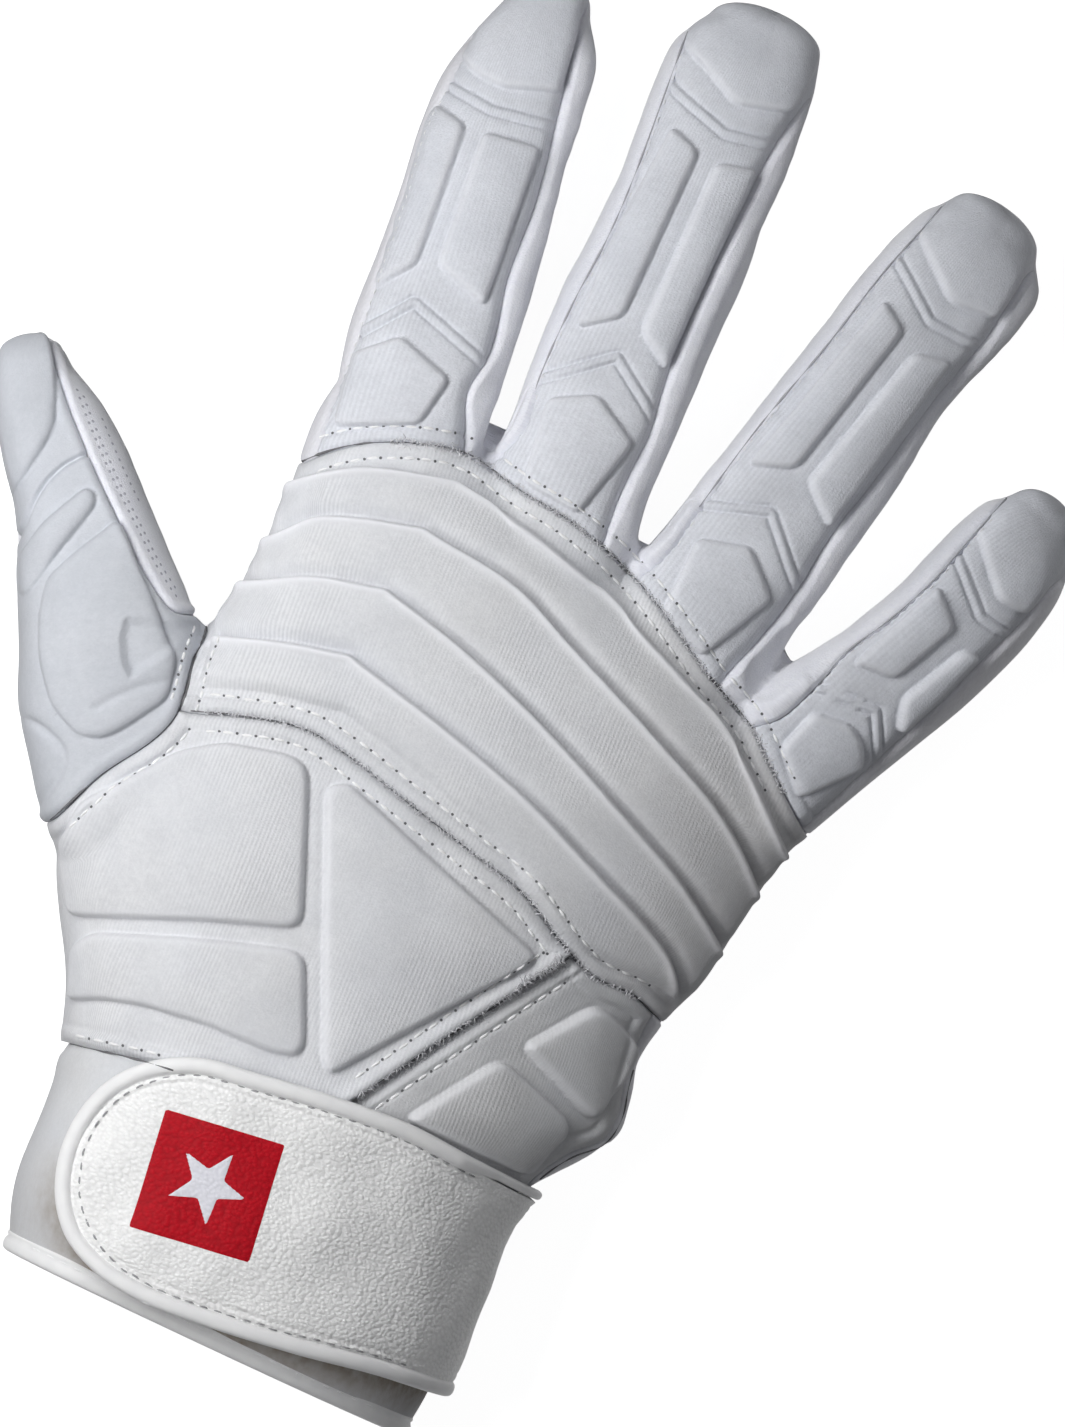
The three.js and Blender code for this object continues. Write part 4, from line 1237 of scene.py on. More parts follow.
# %% Lines between the bands
# From the thumb side to the little-finger side.
BAND_LINES = [
    [(-44, 8), (-36.3, 19.7), (-29.1, 25), (-17, 28.7), (-11.4, 29.5), (3.9, 26.7), (15.2, 23)]
    + [(26.9, 18), (41, 11), (51, 4.6), (63, -6.4), (72, -15)],
    [(-44, 2), (-36, 9.8), (-31, 15.2), (-25.3, 17.5), (-13.7, 20.3), (5.9, 16.3), (16.1, 11.4)]
    + [(35.6, 2.1), (51.8, -6.4), (57.7, -11.1), (62.1, -15.7), (70, -25)],
    [(-46, -4), (-35.9, 1.2), (-27.9, 5.6), (-15.5, 8.3), (0.6, 3.6), (14.8, -1.9), (35.1, -11.6)]
    + [(49.5, -19.3), (59.6, -27), (68, -35)],
    [(-50, -14), (-39.5, -10.3), (-28.9, -6.8), (-17.2, -4.3), (1.4, -9.5), (19.6, -15.6), (37, -23.6)]
    + [(44.8, -27.3), (52.5, -32.2), (56.3, -37.5), (62, -46)],
    [(-50, -23), (-37.7, -19.3), (-28.7, -16.5), (-14.6, -14.5), (-6.1, -17), (6.1, -21.1)]
    + [(20.2, -26.6), (26.5, -31.8), (37, -36.5), (43, -37.2), (51.8, -37.7), (64, -39)],
]
BAND_KINKS = [4, 4, 3, 3, 3]  # the corner where each line bends over the middle finger
BAND_LEFT = smooth_line([(-39.4, -30), (-39.2, -16), (-39.8, -10), (-44, 0), (-46, 30)])
HALF_GROOVE = 0.3
print(len(BAND_LINES) - 1, "bands")

# %% [markdown]
# Each band is steep at its upper line and falls slowly to its lower one, as a shingle does. The
# foam's skin makes a small smooth ridge just inside the upper line, painted bright there as a
# highlight.


# %% Knuckle panel
def knuckle_keep(points):
    """Between the knuckle seam and the seam across the hand."""
    plan, above_palm = points[:, :2], points[:, 2] - SIDE_SEAM_Z
    height = least(-left_of(plan, KNUCKLE_SEAM), left_of(plan, MIDHAND_SEAM))
    return least(height, above_palm, -left_of(plan, CROTCH_RISE))


def band_distances(plan):
    """How far points are above each line between the bands."""
    kinked = [keep_corner(line, kink) for line, kink in zip(BAND_LINES, BAND_KINKS)]
    return [left_of(plan, smooth_line(line, 0.9)) for line in kinked]


def knuckle_rise(points, normals, depth):
    """Heights of the four bands and of the stitched lips round them."""
    plan = points[:, :2]
    lines = band_distances(plan)
    end = np.clip(-left_of(plan, BAND_LEFT) / 1.2, 0, 1)
    height = lip(-left_of(plan, KNUCKLE_SEAM), normals)
    height += lip(left_of(plan, MIDHAND_SEAM), normals, sink=1.3, turn=1.1, puff=0.4)
    height += lip(-left_of(plan, CROTCH_RISE), normals, sink=0.6)
    for above, below in zip(lines, lines[1:]):
        step = np.clip((-above - HALF_GROOVE) / 0.7, 0, 1)
        roll = np.clip((below - HALF_GROOVE) / 3.0, 0, 1)
        band = np.sqrt(1 - (1 - step) ** 2) * (1 - (1 - roll) ** 2.4)
        band *= np.sqrt(1 - (1 - end) ** 2)
        ridge = bell(-above - 1.15, 0.7) * (below > 0) * end
        height += (1.9 * band + 0.6 * ridge) * side_fade(points, normals)
    return height + 0.15 * waves(plan, 11, 22)


def knuckle_highlight_and_shade(points):
    """The ridges are pulled smooth and painted bright as a highlight, and painted shade darkens the
    little-finger side.
    """
    plan = points[:, :2]
    ridges = sum(bell(-line - 1.1, 0.75) for line in band_distances(plan)[:-1])
    return np.clip(ridges, 0, 1), 0.16 * np.clip((plan[:, 0] - 25) / 25, 0, 1)


looks = (PADDED_CLOTH, "padded_cloth", ribs_along_hand, 0.7, knuckle_highlight_and_shade)
cloth_piece("knuckle_cloth", "knuckle_panel", knuckle_keep, knuckle_rise, *looks)

# %% [markdown]
# Below the knuckles the back of the hand has three large pads, and a slanted seam sets off the
# outer side with two smaller ones.

# %% Pads of the hand
HAND_PADS = [
    [(-51.2, -52.9), (-50.2, -44.8), (-38.2, -30.7), (-31.4, -26.4), (-20, -24.1), (-16.9, -25.1)]
    + [(-15.5, -27.7), (-7.9, -49.3), (-9, -51.3), (-22.7, -55.6), (-42.9, -63), (-45, -63)],
    [(-42.4, -67.8), (-39.9, -64.5), (-21.6, -58.3), (-7.7, -54.6), (-5, -55.4), (0.5, -69)]
    + [(-0.2, -71.2), (-4.4, -72.2), (-16.1, -71.9), (-27.3, -72.9), (-34.3, -74.6), (-39.8, -77.2)],
    [(-12.7, -26.9), (-9.4, -24.8), (30.8, -39.9), (30.6, -42), (6.4, -72), (4.2, -70.6)],
]
SIDE_PADS = [
    [(34.7, -55.4), (43.2, -44.6), (46, -44.4), (52.4, -47.6), (53.4, -50), (51.2, -61.6), (49.6, -62.6)],
    [(20.7, -74.3), (31.2, -59.6), (33.4, -59), (46.6, -64), (47.6, -66.4), (43.6, -75.6)],
]
print(len(HAND_PADS) + len(SIDE_PADS), "pads on the hand")

# %% [markdown]
# The two panels differ only in their pads and in what they do at the slanted seam. There the
# back's edge stands up, thick and a little frayed, and the outer side goes down under it. One
# function makes both, and the flap's own function is handed to it.


# %% Back of the hand and outer side
def below_knuckles(points):
    """Between the seam across the hand and the cuff's seam, above the palm."""
    plan, above_palm = points[:, :2], points[:, 2] - SIDE_SEAM_Z
    return least(-left_of(plan, MIDHAND_SEAM), left_of(plan, CUFF_SEAM), above_palm)


def hand_back_keep(points):
    """Left of the slanted seam, as far as the thumb's edge."""
    plan = points[:, :2]
    return least(below_knuckles(points), left_of(plan, SLANT_SEAM), -left_of(plan, THUMB_EDGE))


def outer_side_keep(points):
    """Right of the slanted seam, as far as the palm's flap."""
    plan = points[:, :2]
    return least(below_knuckles(points), -left_of(plan, SLANT_SEAM), left_of(plan, FLAP_EDGE))


def padded(outlines, seed, flap, grey):
    """Heights and marks of a panel with pads. flap adds the height at the slanted seam, and grey
    says how much painted shade darkens the whole panel."""
    pads = [round_corners(outline, 2) for outline in outlines]

    def rise(points, normals, depth):
        plan = points[:, :2]
        from_slant = np.abs(left_of(plan, SLANT_SEAM))
        others = np.where(from_slant < depth + 0.4, 9, depth)
        height = lip(others, normals, sink=1.3, turn=1.1, puff=0.4, row_at=3.1)
        height += flap(from_slant)
        pad = sum(pad_height(inside(plan, outline), 2.3, 1.3, 0.8) for outline in pads)
        return height + pad * side_fade(points, normals) + 0.15 * waves(plan, seed, 20)

    def wear_and_shade(points):
        return pulled_round(points[:, :2], pads) * 0.4, np.full(len(points), grey)

    return rise, wear_and_shade


def standing_flap(distance):
    """The back's edge lies on top of the slanted seam, thick and a little frayed."""
    return 0.9 * bell(distance - 1.0, 1.3) + sunk(distance, 0.6, 0.5, 2)


def sunk_edge(distance):
    """The outer side goes down under that edge."""
    return sunk(distance, 2.2, 2.6, 1.3) - 0.3 * bell(distance - 3.4, 0.5)


# Painted shade over each whole panel: a trace on the back of the hand, more on the outer side.
rise, wear_and_shade = padded(HAND_PADS, 17, standing_flap, 0.02)
looks = (PADDED_CLOTH, "padded_cloth", ribs_along_hand, 0.7, wear_and_shade)
cloth_piece("hand_back_cloth", "hand_back_panel", hand_back_keep, rise, *looks)
rise, wear_and_shade = padded(SIDE_PADS, 19, sunk_edge, 0.05)
looks = (SHADED_OUTER_CLOTH, "padded_cloth", ribs_along_hand, 0.6, wear_and_shade)
cloth_piece("outer_side_cloth", "outer_side_panel", outer_side_keep, rise, *looks)

# %% [markdown]
# The thumb has its own back with three pads and one welt. A plain gusset of thin cloth joins it
# to the hand, and its edge is turned and sewn twice.

# %% Lines of the thumb
THUMB_PADS = [
    [(66, 1.5), (56, 1.2), (50.2, 0.2), (46.2, -1), (42.6, -4.2), (37.3, -10.2), (32, -17), (66, -17)],
    [(34.9, 1.5), (33.9, 3), (31.6, 2.9), (28.2, -1.4), (24.8, -5.8), (19, -13), (24, -15), (31.1, -6.1)],
    [(28.3, 5.7), (24.8, -2.2), (21.4, -8.4), (15.3, -11.2), (8.5, -12.6), (0.5, -12.5), (-5.6, -9.5)]
    + [(-7.3, -5.4), (-6.6, -1.7), (-3.3, 7.1), (3.1, 10), (13.4, 8.4), (19.9, 7.3), (26.2, 7)],
]
# A flat facet of the base pad, pulled in by the gusset's seam.
THUMB_FACET = [(11.8, 3.2), (8.7, 1.4), (4, 0.8), (1, 1.5), (2.8, 5.9), (4.9, 10.4), (8.2, 14.5)]
THUMB_CREASE = [(-2.1, -5.1), (-1, -1.2), (-0.3, 3.4), (-0.4, 7.2)]
THUMB_WELT = [(26, -15), (30.5, -10.7), (36.4, -5.7), (39.6, -0.5), (40.5, 3.7), (41, 6)]
THUMB_FOLD = [(0, -19), (-2.9, -15.3), (-9.1, -12.5), (-10.4, -13.3), (-14.6, -17.3), (-17, -20)]

# %% [markdown]
# The thumb's pads fade out over its left side, where the cloth is drawn tight round it. The gusset
# has no pad. Its seam with the thumb stands up as a narrow turned edge.


# %% Thumb and gusset
def thumb_keep(points):
    """Left of the thumb's edge, down to the cuff."""
    plan, above_palm = points[:, :2], points[:, 2] - SIDE_SEAM_Z
    depth = least(left_of(plan, THUMB_EDGE), above_palm, left_of(plan, CUFF_SEAM))
    return np.where(plan[:, 0] < -36, depth, -9)


def thumb_rise(points, normals, depth):
    """Heights of the thumb's pads, welt, fold and creases."""
    plan = points[:, :2]
    seam = left_of(plan, THUMB_EDGE)
    height = sunk(seam, 0.7, 0.7, 2) + 0.4 * bell(seam - 1.4, 0.8)
    height += lip(left_of(plan, CUFF_SEAM), normals)
    _, t = finger_place("thumb", plan)
    outer_side = np.clip((t + 12) / 6, 0.55, 1)  # the pads fade out over the thumb's left side
    pad = sum(
        pad_height(inside(plan, finger_outline("thumb", corners, 2.0)), 1.9, 1.7)
        for corners in THUMB_PADS
    )
    facet = inside(plan, finger_outline("thumb", THUMB_FACET, 0.8))
    pad -= 1.1 * np.clip(facet / 1.4, 0, 1) ** 0.8 * np.clip((16 - t) / 13, 0, 1)
    height += pad * side_fade(points, normals) * outer_side
    lines = (THUMB_WELT, THUMB_FOLD, THUMB_CREASE)
    welt, fold, crease = (smooth_line(on_finger("thumb", line)) for line in lines)
    height += groove(plan, welt, 0.45, 0.9) + groove(plan, crease, 0.8, 0.45)
    height += groove(plan, fold, 0.8, 0.6) * side_fade(points, normals)
    return height + 0.15 * waves(plan, 23, 16)


def gusset_keep(points):
    """Between the thumb's edge and the seam that rises from the crotch."""
    plan, above_palm = points[:, :2], points[:, 2] - SIDE_SEAM_Z
    return least(-left_of(plan, THUMB_EDGE), left_of(plan, CROTCH_RISE), above_palm)


def gusset_rise(points, normals, depth):
    """The gusset is plain, but for its turned edge."""
    plan = points[:, :2]
    seam = -left_of(plan, THUMB_EDGE)
    height = 0.35 * bell(seam - 0.9, 0.6) + sunk(seam, 0.5, 0.5, 2)
    return height + 0.06 * waves(plan, 29, 8)


weave = ribs_along_finger("thumb")
looks = (SHADED_THUMB_CLOTH, "padded_cloth", weave, 0.6)
cloth_piece("thumb_back_cloth", "thumb_back", thumb_keep, thumb_rise, *looks)
looks = (SIDE_CLOTH, "side_cloth", weave)
cloth_piece("thumb_gusset_cloth", "thumb_gusset", gusset_keep, gusset_rise, *looks, sheet=True)

# %% [markdown]
# The palm side is one piece of thin leather. It turns up over the outer sides of the index and
# little fingers, and its edge shows as a narrow flap beside the outer side's pads.


# %% Palm
def palm_keep(points):
    """Below the side seam, and turned up beside two fingers and beside the outer side's pads."""
    plan, x = points[:, :2], points[:, 0]
    beyond = left_of(plan, KNUCKLE_SEAM)
    by_index = least(left_of(plan, FINGER_LINES["index", "left"]), beyond)
    by_little = least(-left_of(plan, FINGER_LINES["little", "right"]), beyond)
    flap = least(-left_of(plan, FLAP_EDGE), -left_of(plan, MIDHAND_SEAM))
    depth = SIDE_SEAM_Z - points[:, 2]
    for part, where in ((by_index, (x < -20) & (x > -46)), (by_little, x > 50), (flap, x > 40)):
        depth = np.maximum(depth, np.where(where, part, -9))
    return least(depth, left_of(plan, CUFF_SEAM))


def palm_rise(points, normals, depth):
    """A thin rolled edge, and slow waves on the flat underside."""
    bottom = np.clip(1 - points[:, 2] / 6, 0, 1)
    height = seam_edge(depth, sink=0.8, turn=0.7, puff=0.1, row=0.1) * (1 - bottom)
    return height + 0.2 * waves(points[:, :2], 31, 30) * bottom


looks = (PALM_LEATHER, "palm_leather", ribs_along_hand)
cloth_piece("palm_leather_skin", "palm", palm_keep, palm_rise, *looks, steep=STEEP[:1])

# %% [markdown]
# The cuff is a tube of plain cloth. It starts under the turned edge of the hand's back, and its
# open end is bound with a leather hem.

# %% Cuff
HEM_TOP_Y = -119.6
SHADE_FROM_Y = -99  # painted shade darkens the cuff from here to its hem


def cuff_keep(points):
    """Between the cuff's seam and the hem."""
    plan = points[:, :2]
    return least(-left_of(plan, CUFF_SEAM), hem_side(plan, HEM_TOP_Y))


def cuff_rise(points, normals, depth):
    """The cuff starts low, under the turned edge, and is slightly uneven."""
    from_seam = -left_of(points[:, :2], CUFF_SEAM)
    height = sunk(from_seam, 1.2, 2.4, 1) + 0.2 * bell(from_seam - 4, 1.5)
    return (height + 0.25 * waves(points[:, :2], 37, 26)) * np.clip(points[:, 2] / 4, 0, 1)


def cuff_painted_shade(points):
    """Painted brown shade on the cuff along the strap's lower edge, a little over all of its lower part."""
    plan = points[:, :2]
    from_strap = -left_of(plan, STRAP_LINE)
    low = np.clip((SHADE_FROM_Y - plan[:, 1]) / 14, 0, 1)
    painted_shade = (0.8 * bell(from_strap, 4) * (from_strap > -3) + 0.1) * low
    return np.zeros(len(points)), painted_shade * np.clip(points[:, 2] / 20, 0, 1)


looks = (CUFF_CLOTH, "side_cloth", ribs_along_hand, None, cuff_painted_shade)
cloth_piece("cuff_cloth_tube", "cuff", cuff_keep, cuff_rise, *looks, steep=STEEP[:1], sheet=True)


# %% [markdown]
# A binding is a strip folded round an edge. It is a sweep: one rounded section, carried along
# the edge. The hem's section hugs the end of the cuff, outside and inside.


# %% Sweeps
def tube_ends(rows, ring):
    """Triangles that close a tube's first and last ring."""
    fan = np.arange(1, ring - 1)
    last = (rows - 1) * ring
    start = np.column_stack([np.zeros_like(fan), fan + 1, fan])
    end = np.column_stack([np.full_like(fan, last), last + fan, last + fan + 1])
    return np.vstack([start, end])


def oval(count, squareness, reach):
    """A rounded section with its half width and half height."""
    angle = np.linspace(0, 2 * np.pi, count, endpoint=False)
    section = np.column_stack([np.cos(angle), np.sin(angle)])
    return np.sign(section) * np.abs(section) ** squareness * reach


def sweep(centres, out, side, section, closed, size=1.0):
    """A tube whose section, in (side, out) columns, is carried along points."""
    count, ring = len(centres), len(section)
    sized = section[None] * np.full(count, size)[:, None, None]
    points = centres[:, None] + side[:, None] * sized[:, :, :1] + out[:, None] * sized[:, :, 1:]
    if closed:
        tris = halves(tube_quads(count + 1, ring) % (count * ring))
    else:
        tris = np.vstack([halves(tube_quads(count, ring)), tube_ends(count, ring)])
    return points.reshape(-1, 3), tris


# %% [markdown]
# The hem is a strip of leather folded round the cuff's end. A row of stitches presses a groove
# into its outer face. Its section is a rounded box with that groove, carried once round the wrist.

# %% Hem
HEM_STEP = 0.8


def hem_ring(count):
    """Points round the cuff's open end, and the directions out of it."""
    x, z = hand_section(fill_rows(HAND_ROWS, 1)[2], count)
    loop = np.column_stack([x, np.zeros(count), z])
    ring = even(np.vstack([loop, loop[:1]]), HEM_STEP)[:-1]
    ahead = unit(np.roll(ring, -1, 0) - np.roll(ring, 1, 0))
    out = np.column_stack([ahead[:, 2], np.zeros(len(ring)), -ahead[:, 0]])
    ring[:, 1] = HEM_TOP_Y - HEM_SLOPE * ring[:, 0]
    return ring, out


ring, out = hem_ring(400)
hem_section = oval(36, 0.6, (1.9, 1.65))
sewn = bell(hem_section[:, 0] - 0.55, 0.28) * (hem_section[:, 1] > 0)
hem_section[:, 1] -= 0.4 * sewn  # the row of stitches presses a groove into the hem
centres = ring - out * (WALL / 2) + np.array([0, -0.9, 0])
points, tris = sweep(centres, out, np.tile([0.0, 1.0, 0.0], (len(ring), 1)), hem_section, True)
points[:, 2] = np.maximum(points[:, 2], 0)
run = np.repeat(np.arange(len(ring)) * HEM_STEP, len(hem_section))
grain = np.column_stack([run, points[:, 1], points[:, 2]])
hem = new_object("cuff_hem_binding", points, tris, BINDING_LEATHER, grain)
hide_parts("cuff_hem")
SKINS.append((points, tris))

# %% [markdown]
# The strap lies over the back of the cuff, with a round free end, and goes round the outer side.
# It is drawn flat, as it was cut, and then laid on the cuff: up to the cuff's shoulder its x is
# x in plan, and past it x is the distance down the side. That keeps its grain and edges true.

# %% Lay things on the cuff
SHOULDER_X = 34
ACROSS_Y = np.arange(-124, -68, 4.0)
REACH_X = np.arange(-36, 78, 2.0)
FREE_END_X = -13  # from here on the strap doesn't follow the cuff down
FREE_FALL = 0.65
DOWN = Vector((0, 0, -1))
cuff_form = BVHTree.FromPolygons(COARSE[0].tolist(), COARSE[2].tolist())


def wrap_table():
    """Points of the cuff's surface for each x along the strap and each y across it. The strap is
    stiff: it doesn't follow the cuff down at its free end and at the hem."""
    table = np.zeros((len(REACH_X), len(ACROSS_Y), 3))
    for j, row in enumerate(ACROSS_Y):
        y = max(row, HEM_TOP_Y + 5)
        side = []
        for turn in np.radians(np.arange(88, -24, -2.0)):
            away = Vector((math.cos(turn), 0, math.sin(turn)))
            start = Vector((SHOULDER_X - 14, y, 18)) + away * 90
            side.append(cuff_form.ray_cast(start, -away)[0])
        side = np.array(side)
        for i, x in enumerate(REACH_X):
            if x <= side[0, 0]:
                table[i, j] = cuff_form.ray_cast(Vector((x, y, 90)), DOWN)[0]
            else:
                table[i, j] = points_at(side, x - side[0, 0])
        table[:, j, 1] = row
    for i in np.flatnonzero(REACH_X < FREE_END_X)[::-1]:
        table[i, :, 2] = np.fmax(table[i, :, 2], table[i + 1, :, 2] - FREE_FALL)
    return table


WRAP = wrap_table()
WRAP_OUT = unit(np.cross(np.gradient(WRAP, axis=0), np.gradient(WRAP, axis=1)))


def on_table(table, flat):
    """A table's value at points of the strap's flat cut."""
    u = np.clip((flat[:, 0] - REACH_X[0]) / 2, 0, len(REACH_X) - 1.001)
    v = np.clip((flat[:, 1] - ACROSS_Y[0]) / 4, 0, len(ACROSS_Y) - 1.001)
    i, j = u.astype(int), v.astype(int)
    u, v = (u - i)[:, None], (v - j)[:, None]
    low = table[i, j] * (1 - u) + table[i + 1, j] * u
    high = table[i, j + 1] * (1 - u) + table[i + 1, j + 1] * u
    return low * (1 - v) + high * v


def lay(flat, height):
    """Points of the flat strap laid on the cuff, at a height above it."""
    out = unit(on_table(WRAP_OUT, flat))
    return on_table(WRAP, flat) + out * np.asarray(height)[:, None], out


# %% [markdown]
# A stiff strap never lies flat on a padded cuff. Its lower edge stands off a little, most of all
# at its free end, and on the outer side it is pulled tight and thin. These small heights make its
# shadow, which is what tells the eye that it is a separate piece.

# %% The strap's layers
STRAP_GAP = 0.5
LEATHER = 2.6
BINDING_WIDE = 2.9
SHEET_IN = 1.9  # the leather's own edge is hidden in the binding


def strap_lift(flat):
    """The strap's lower edge stands off the cuff a little, most of all at its free end."""
    far = np.clip((8 - flat[:, 0]) / 38, 0, 1)
    low = np.clip((-92 - flat[:, 1]) / 26, 0, 1)
    return (1.2 + 2.0 * far**1.5) * low**1.5 * np.clip((46 - flat[:, 0]) / 10, 0, 1)


def pressed(flat):
    """Down the outer side the strap's upper edge is pressed thinner."""
    upper = np.clip((flat[:, 1] + 96) / 12, 0, 1)
    return 1 - 0.45 * np.clip((flat[:, 0] - 32) / 9, 0, 1) * upper


def flat_cut(x, y, depth_at):
    """A flat grid cut where depth_at is above zero: points, their depths and triangles."""
    grid = np.stack(np.meshgrid(x, y, indexing="ij"), -1).reshape(-1, 2)
    a = (np.arange(len(x) - 1)[:, None] * len(y) + np.arange(len(y) - 1)).ravel()
    tris = halves(np.column_stack([a, a + len(y), a + len(y) + 1, a + 1]))
    depth = depth_at(grid)
    values, tris = cut(np.column_stack([grid, depth]), tris[(depth[tris] > 0).any(1)], depth)
    return values[:, :2], values[:, 2], tris


# %% [markdown]
# The strap's leather is one sheet with a top and an underside. Its edge is hidden in the binding.
# From the binding inwards come a groove, a thin raised piping, and the groove of the stitches.

# %% Strap
STRAP_STEP = 0.45
STRAP_ROOT_X = 62
STRAP_TOP_Y = -74
x = np.arange(STRAP_LINE[:, 0].min(), STRAP_ROOT_X, STRAP_STEP)
y = np.arange(STRAP_LINE[:, 1].min(), STRAP_TOP_Y, STRAP_STEP)
flat, depth, tris = flat_cut(x, y, lambda grid: left_of(grid, STRAP_LINE) - SHEET_IN)
depth = np.maximum(depth, 0)
row = 0.15 * bell(depth - 1.75, 0.4) - 0.7 * bell(depth - 1.1, 0.38) - 0.5 * bell(depth - 2.4, 0.3)
row *= 1 - 0.8 * np.clip((flat[:, 0] - 34) / 8, 0, 1)
swell = 0.25 * waves(flat, 41, 18) * np.clip(depth / 5, 0, 1)
top, _ = lay(flat, STRAP_GAP + LEATHER * pressed(flat) + row + swell + strap_lift(flat))
under, _ = lay(flat, STRAP_GAP + strap_lift(flat))
edge, first = border(tris), len(top)
all_tris = np.vstack([tris, rim_strip(edge, edge + first), tris[:, ::-1] + first])
grain = np.tile(np.column_stack([flat, np.zeros(len(flat))]), (2, 1))
strap = new_object("wrist_strap_leather", np.vstack([top, under]), all_tris, STRAP_LEATHER, grain)
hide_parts("wrist_strap")
SKINS.append((top, tris))

# %% [markdown]
# The strap's binding is a rolled strip of smooth leather. It is drawn in the flat, half its width
# inside the strap's outline, and laid on the cuff like the strap, so the two never part.

# %% Strap's binding
BINDING_HEIGHT = STRAP_GAP + 1.7
section = oval(20, 0.8, (1.45, 1.5))
line = STRAP_LINE[np.abs(STRAP_LINE[:, 0]) < STRAP_ROOT_X]
left, size = leftward(line), pressed(line)
flat = line + left * (BINDING_WIDE / 2) * size[:, None]
base, out = lay(flat, BINDING_HEIGHT * size + strap_lift(flat))
nearby = flat + left * 0.5
beside, _ = lay(nearby, BINDING_HEIGHT * size + strap_lift(nearby))
points, tris = sweep(base, out, unit(beside - base), section, False, size)
run = np.repeat(np.arange(len(line)) * OUTLINE_STEP, len(section))
grain = np.column_stack([run, np.tile(section, (len(line), 1))])
binding = new_object("strap_binding_roll", points, tris, BINDING_LEATHER, grain)
SKINS.append((points, tris))
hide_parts("strap_binding")

# %% [markdown]
# A red square is printed on the free end of the strap, with a plain white star in it. Print is
# ink on the leather's grain, so each colour is a very thin sheet that follows the leather.

# %% Printed square
PATCH_MIDDLE = np.array([-5.7, -96.9])
PATCH_TURN = math.radians(5)
PATCH_SIDE = 20.3
PATCH_STEP = 0.35
STAR_REACH = 7.6


def patch_points(local):
    """The square's own coordinates as points of the flat strap."""
    c, s = math.cos(PATCH_TURN), math.sin(PATCH_TURN)
    turned = np.column_stack([local[:, 0] * c - local[:, 1] * s, local[:, 0] * s + local[:, 1] * c])
    return turned + PATCH_MIDDLE


def patch_layer(name, outline, height, finish):
    """A thin sheet of ink inside an outline."""
    at = np.arange(-PATCH_SIDE / 2 - 1, PATCH_SIDE / 2 + 1, PATCH_STEP)
    local, depth, tris = flat_cut(at, at, lambda grid: inside(grid, outline))
    flat = patch_points(local)
    swell = 0.25 * waves(flat, 41, 18)
    lifted = STRAP_GAP + LEATHER + swell + strap_lift(flat) + height * np.clip(depth / 0.5, 0.2, 1)
    points, _ = lay(flat, lifted)
    return new_object(name, points, tris, finish, np.column_stack([flat, np.zeros(len(flat))]))


half, corner = PATCH_SIDE / 2, 0.3
square = round_corners([(-half, -half), (half, -half), (half, half), (-half, half)], corner)
turn = math.radians(90) - TURN + np.radians(36) * np.arange(10)
reach = np.where(np.arange(10) % 2 == 0, STAR_REACH, STAR_REACH * 0.4)[:, None]
star = round_corners(np.column_stack([np.cos(turn), np.sin(turn)]) * reach, corner)
patch = patch_layer("strap_patch_print", square, 0.12, RED_PRINT)
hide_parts("strap_patch")
emblem = patch_layer("strap_star_print", star, 0.2, WHITE_PRINT)

# %% [markdown]
# Stitches are too many to place by hand. Each row is a line in plan, moved sideways from its
# seam. A straight ray dropped on the finished cloth finds the height of every stitch, a short
# thread that lies flat, and of the needle hole between it and the next one, a small disc painted
# dark as its shade.

# %% Find the finished cloth
def joined(parts):
    """The points and triangles of many meshes as one."""
    firsts = np.cumsum([0] + [len(points) for points, _ in parts[:-1]])
    tris = np.vstack([part[1] + first for part, first in zip(parts, firsts)])
    return np.vstack([points for points, _ in parts]), tris


points, tris = joined(SKINS)
CLOTH = BVHTree.FromPolygons(points.tolist(), tris.tolist())
print("outside of the glove", len(tris), "triangles")


def height_at(plan):
    """The height of the finished glove above points in plan, or zero beside it."""
    hits = (CLOTH.ray_cast(Vector((x, y, 90)), DOWN)[0] for x, y in plan.tolist())
    return np.array([hit.z if hit else 0.0 for hit in hits])


def on_cloth(plan, reach=0.6):
    """Points on the cloth above points in plan, and the direction out of it."""
    slope_x = (height_at(plan + [reach, 0]) - height_at(plan - [reach, 0])) / (2 * reach)
    slope_y = (height_at(plan + [0, reach]) - height_at(plan - [0, reach])) / (2 * reach)
    out = unit(np.column_stack([-slope_x, -slope_y, np.ones(len(plan))]))
    return np.column_stack([plan, height_at(plan)]), out


# %% [markdown]
# A stitch is a short tube that dives into the cloth at both ends. No two are quite alike, so each
# gets its own small errors in place. Where the ray misses the cloth, the stitch is left out.

# %% Stitches
STITCH_LONG = 2.1
STITCH_PITCH = 3.0
ARCH_OUT = np.array([-0.25, -0.02, 0.04, -0.02, -0.25])  # how far a stitch's five points stand out
THICKNESS = np.array([0.7, 1, 1.05, 1, 0.7])


def offset_line(line, distance):
    """A line moved to its left by a distance."""
    return line + leftward(line) * distance


def part_of(line, start, end):
    """The part of a line between the points nearest to start and end."""
    i = np.linalg.norm(line - np.array(start), axis=1).argmin()
    j = np.linalg.norm(line - np.array(end), axis=1).argmin()
    return line[min(i, j) : max(i, j) + 1]


def thread_rings(spots, out, side, count, thickness):
    """Rings of a thread round each of its points."""
    turn = np.linspace(0, 2 * np.pi, count, endpoint=False)[:, None]
    size = np.reshape(thickness, (-1, 1, 1))
    return spots[:, :, None] + side[:, :, None] * np.cos(turn) * size + out[:, :, None] * np.sin(turn) * size


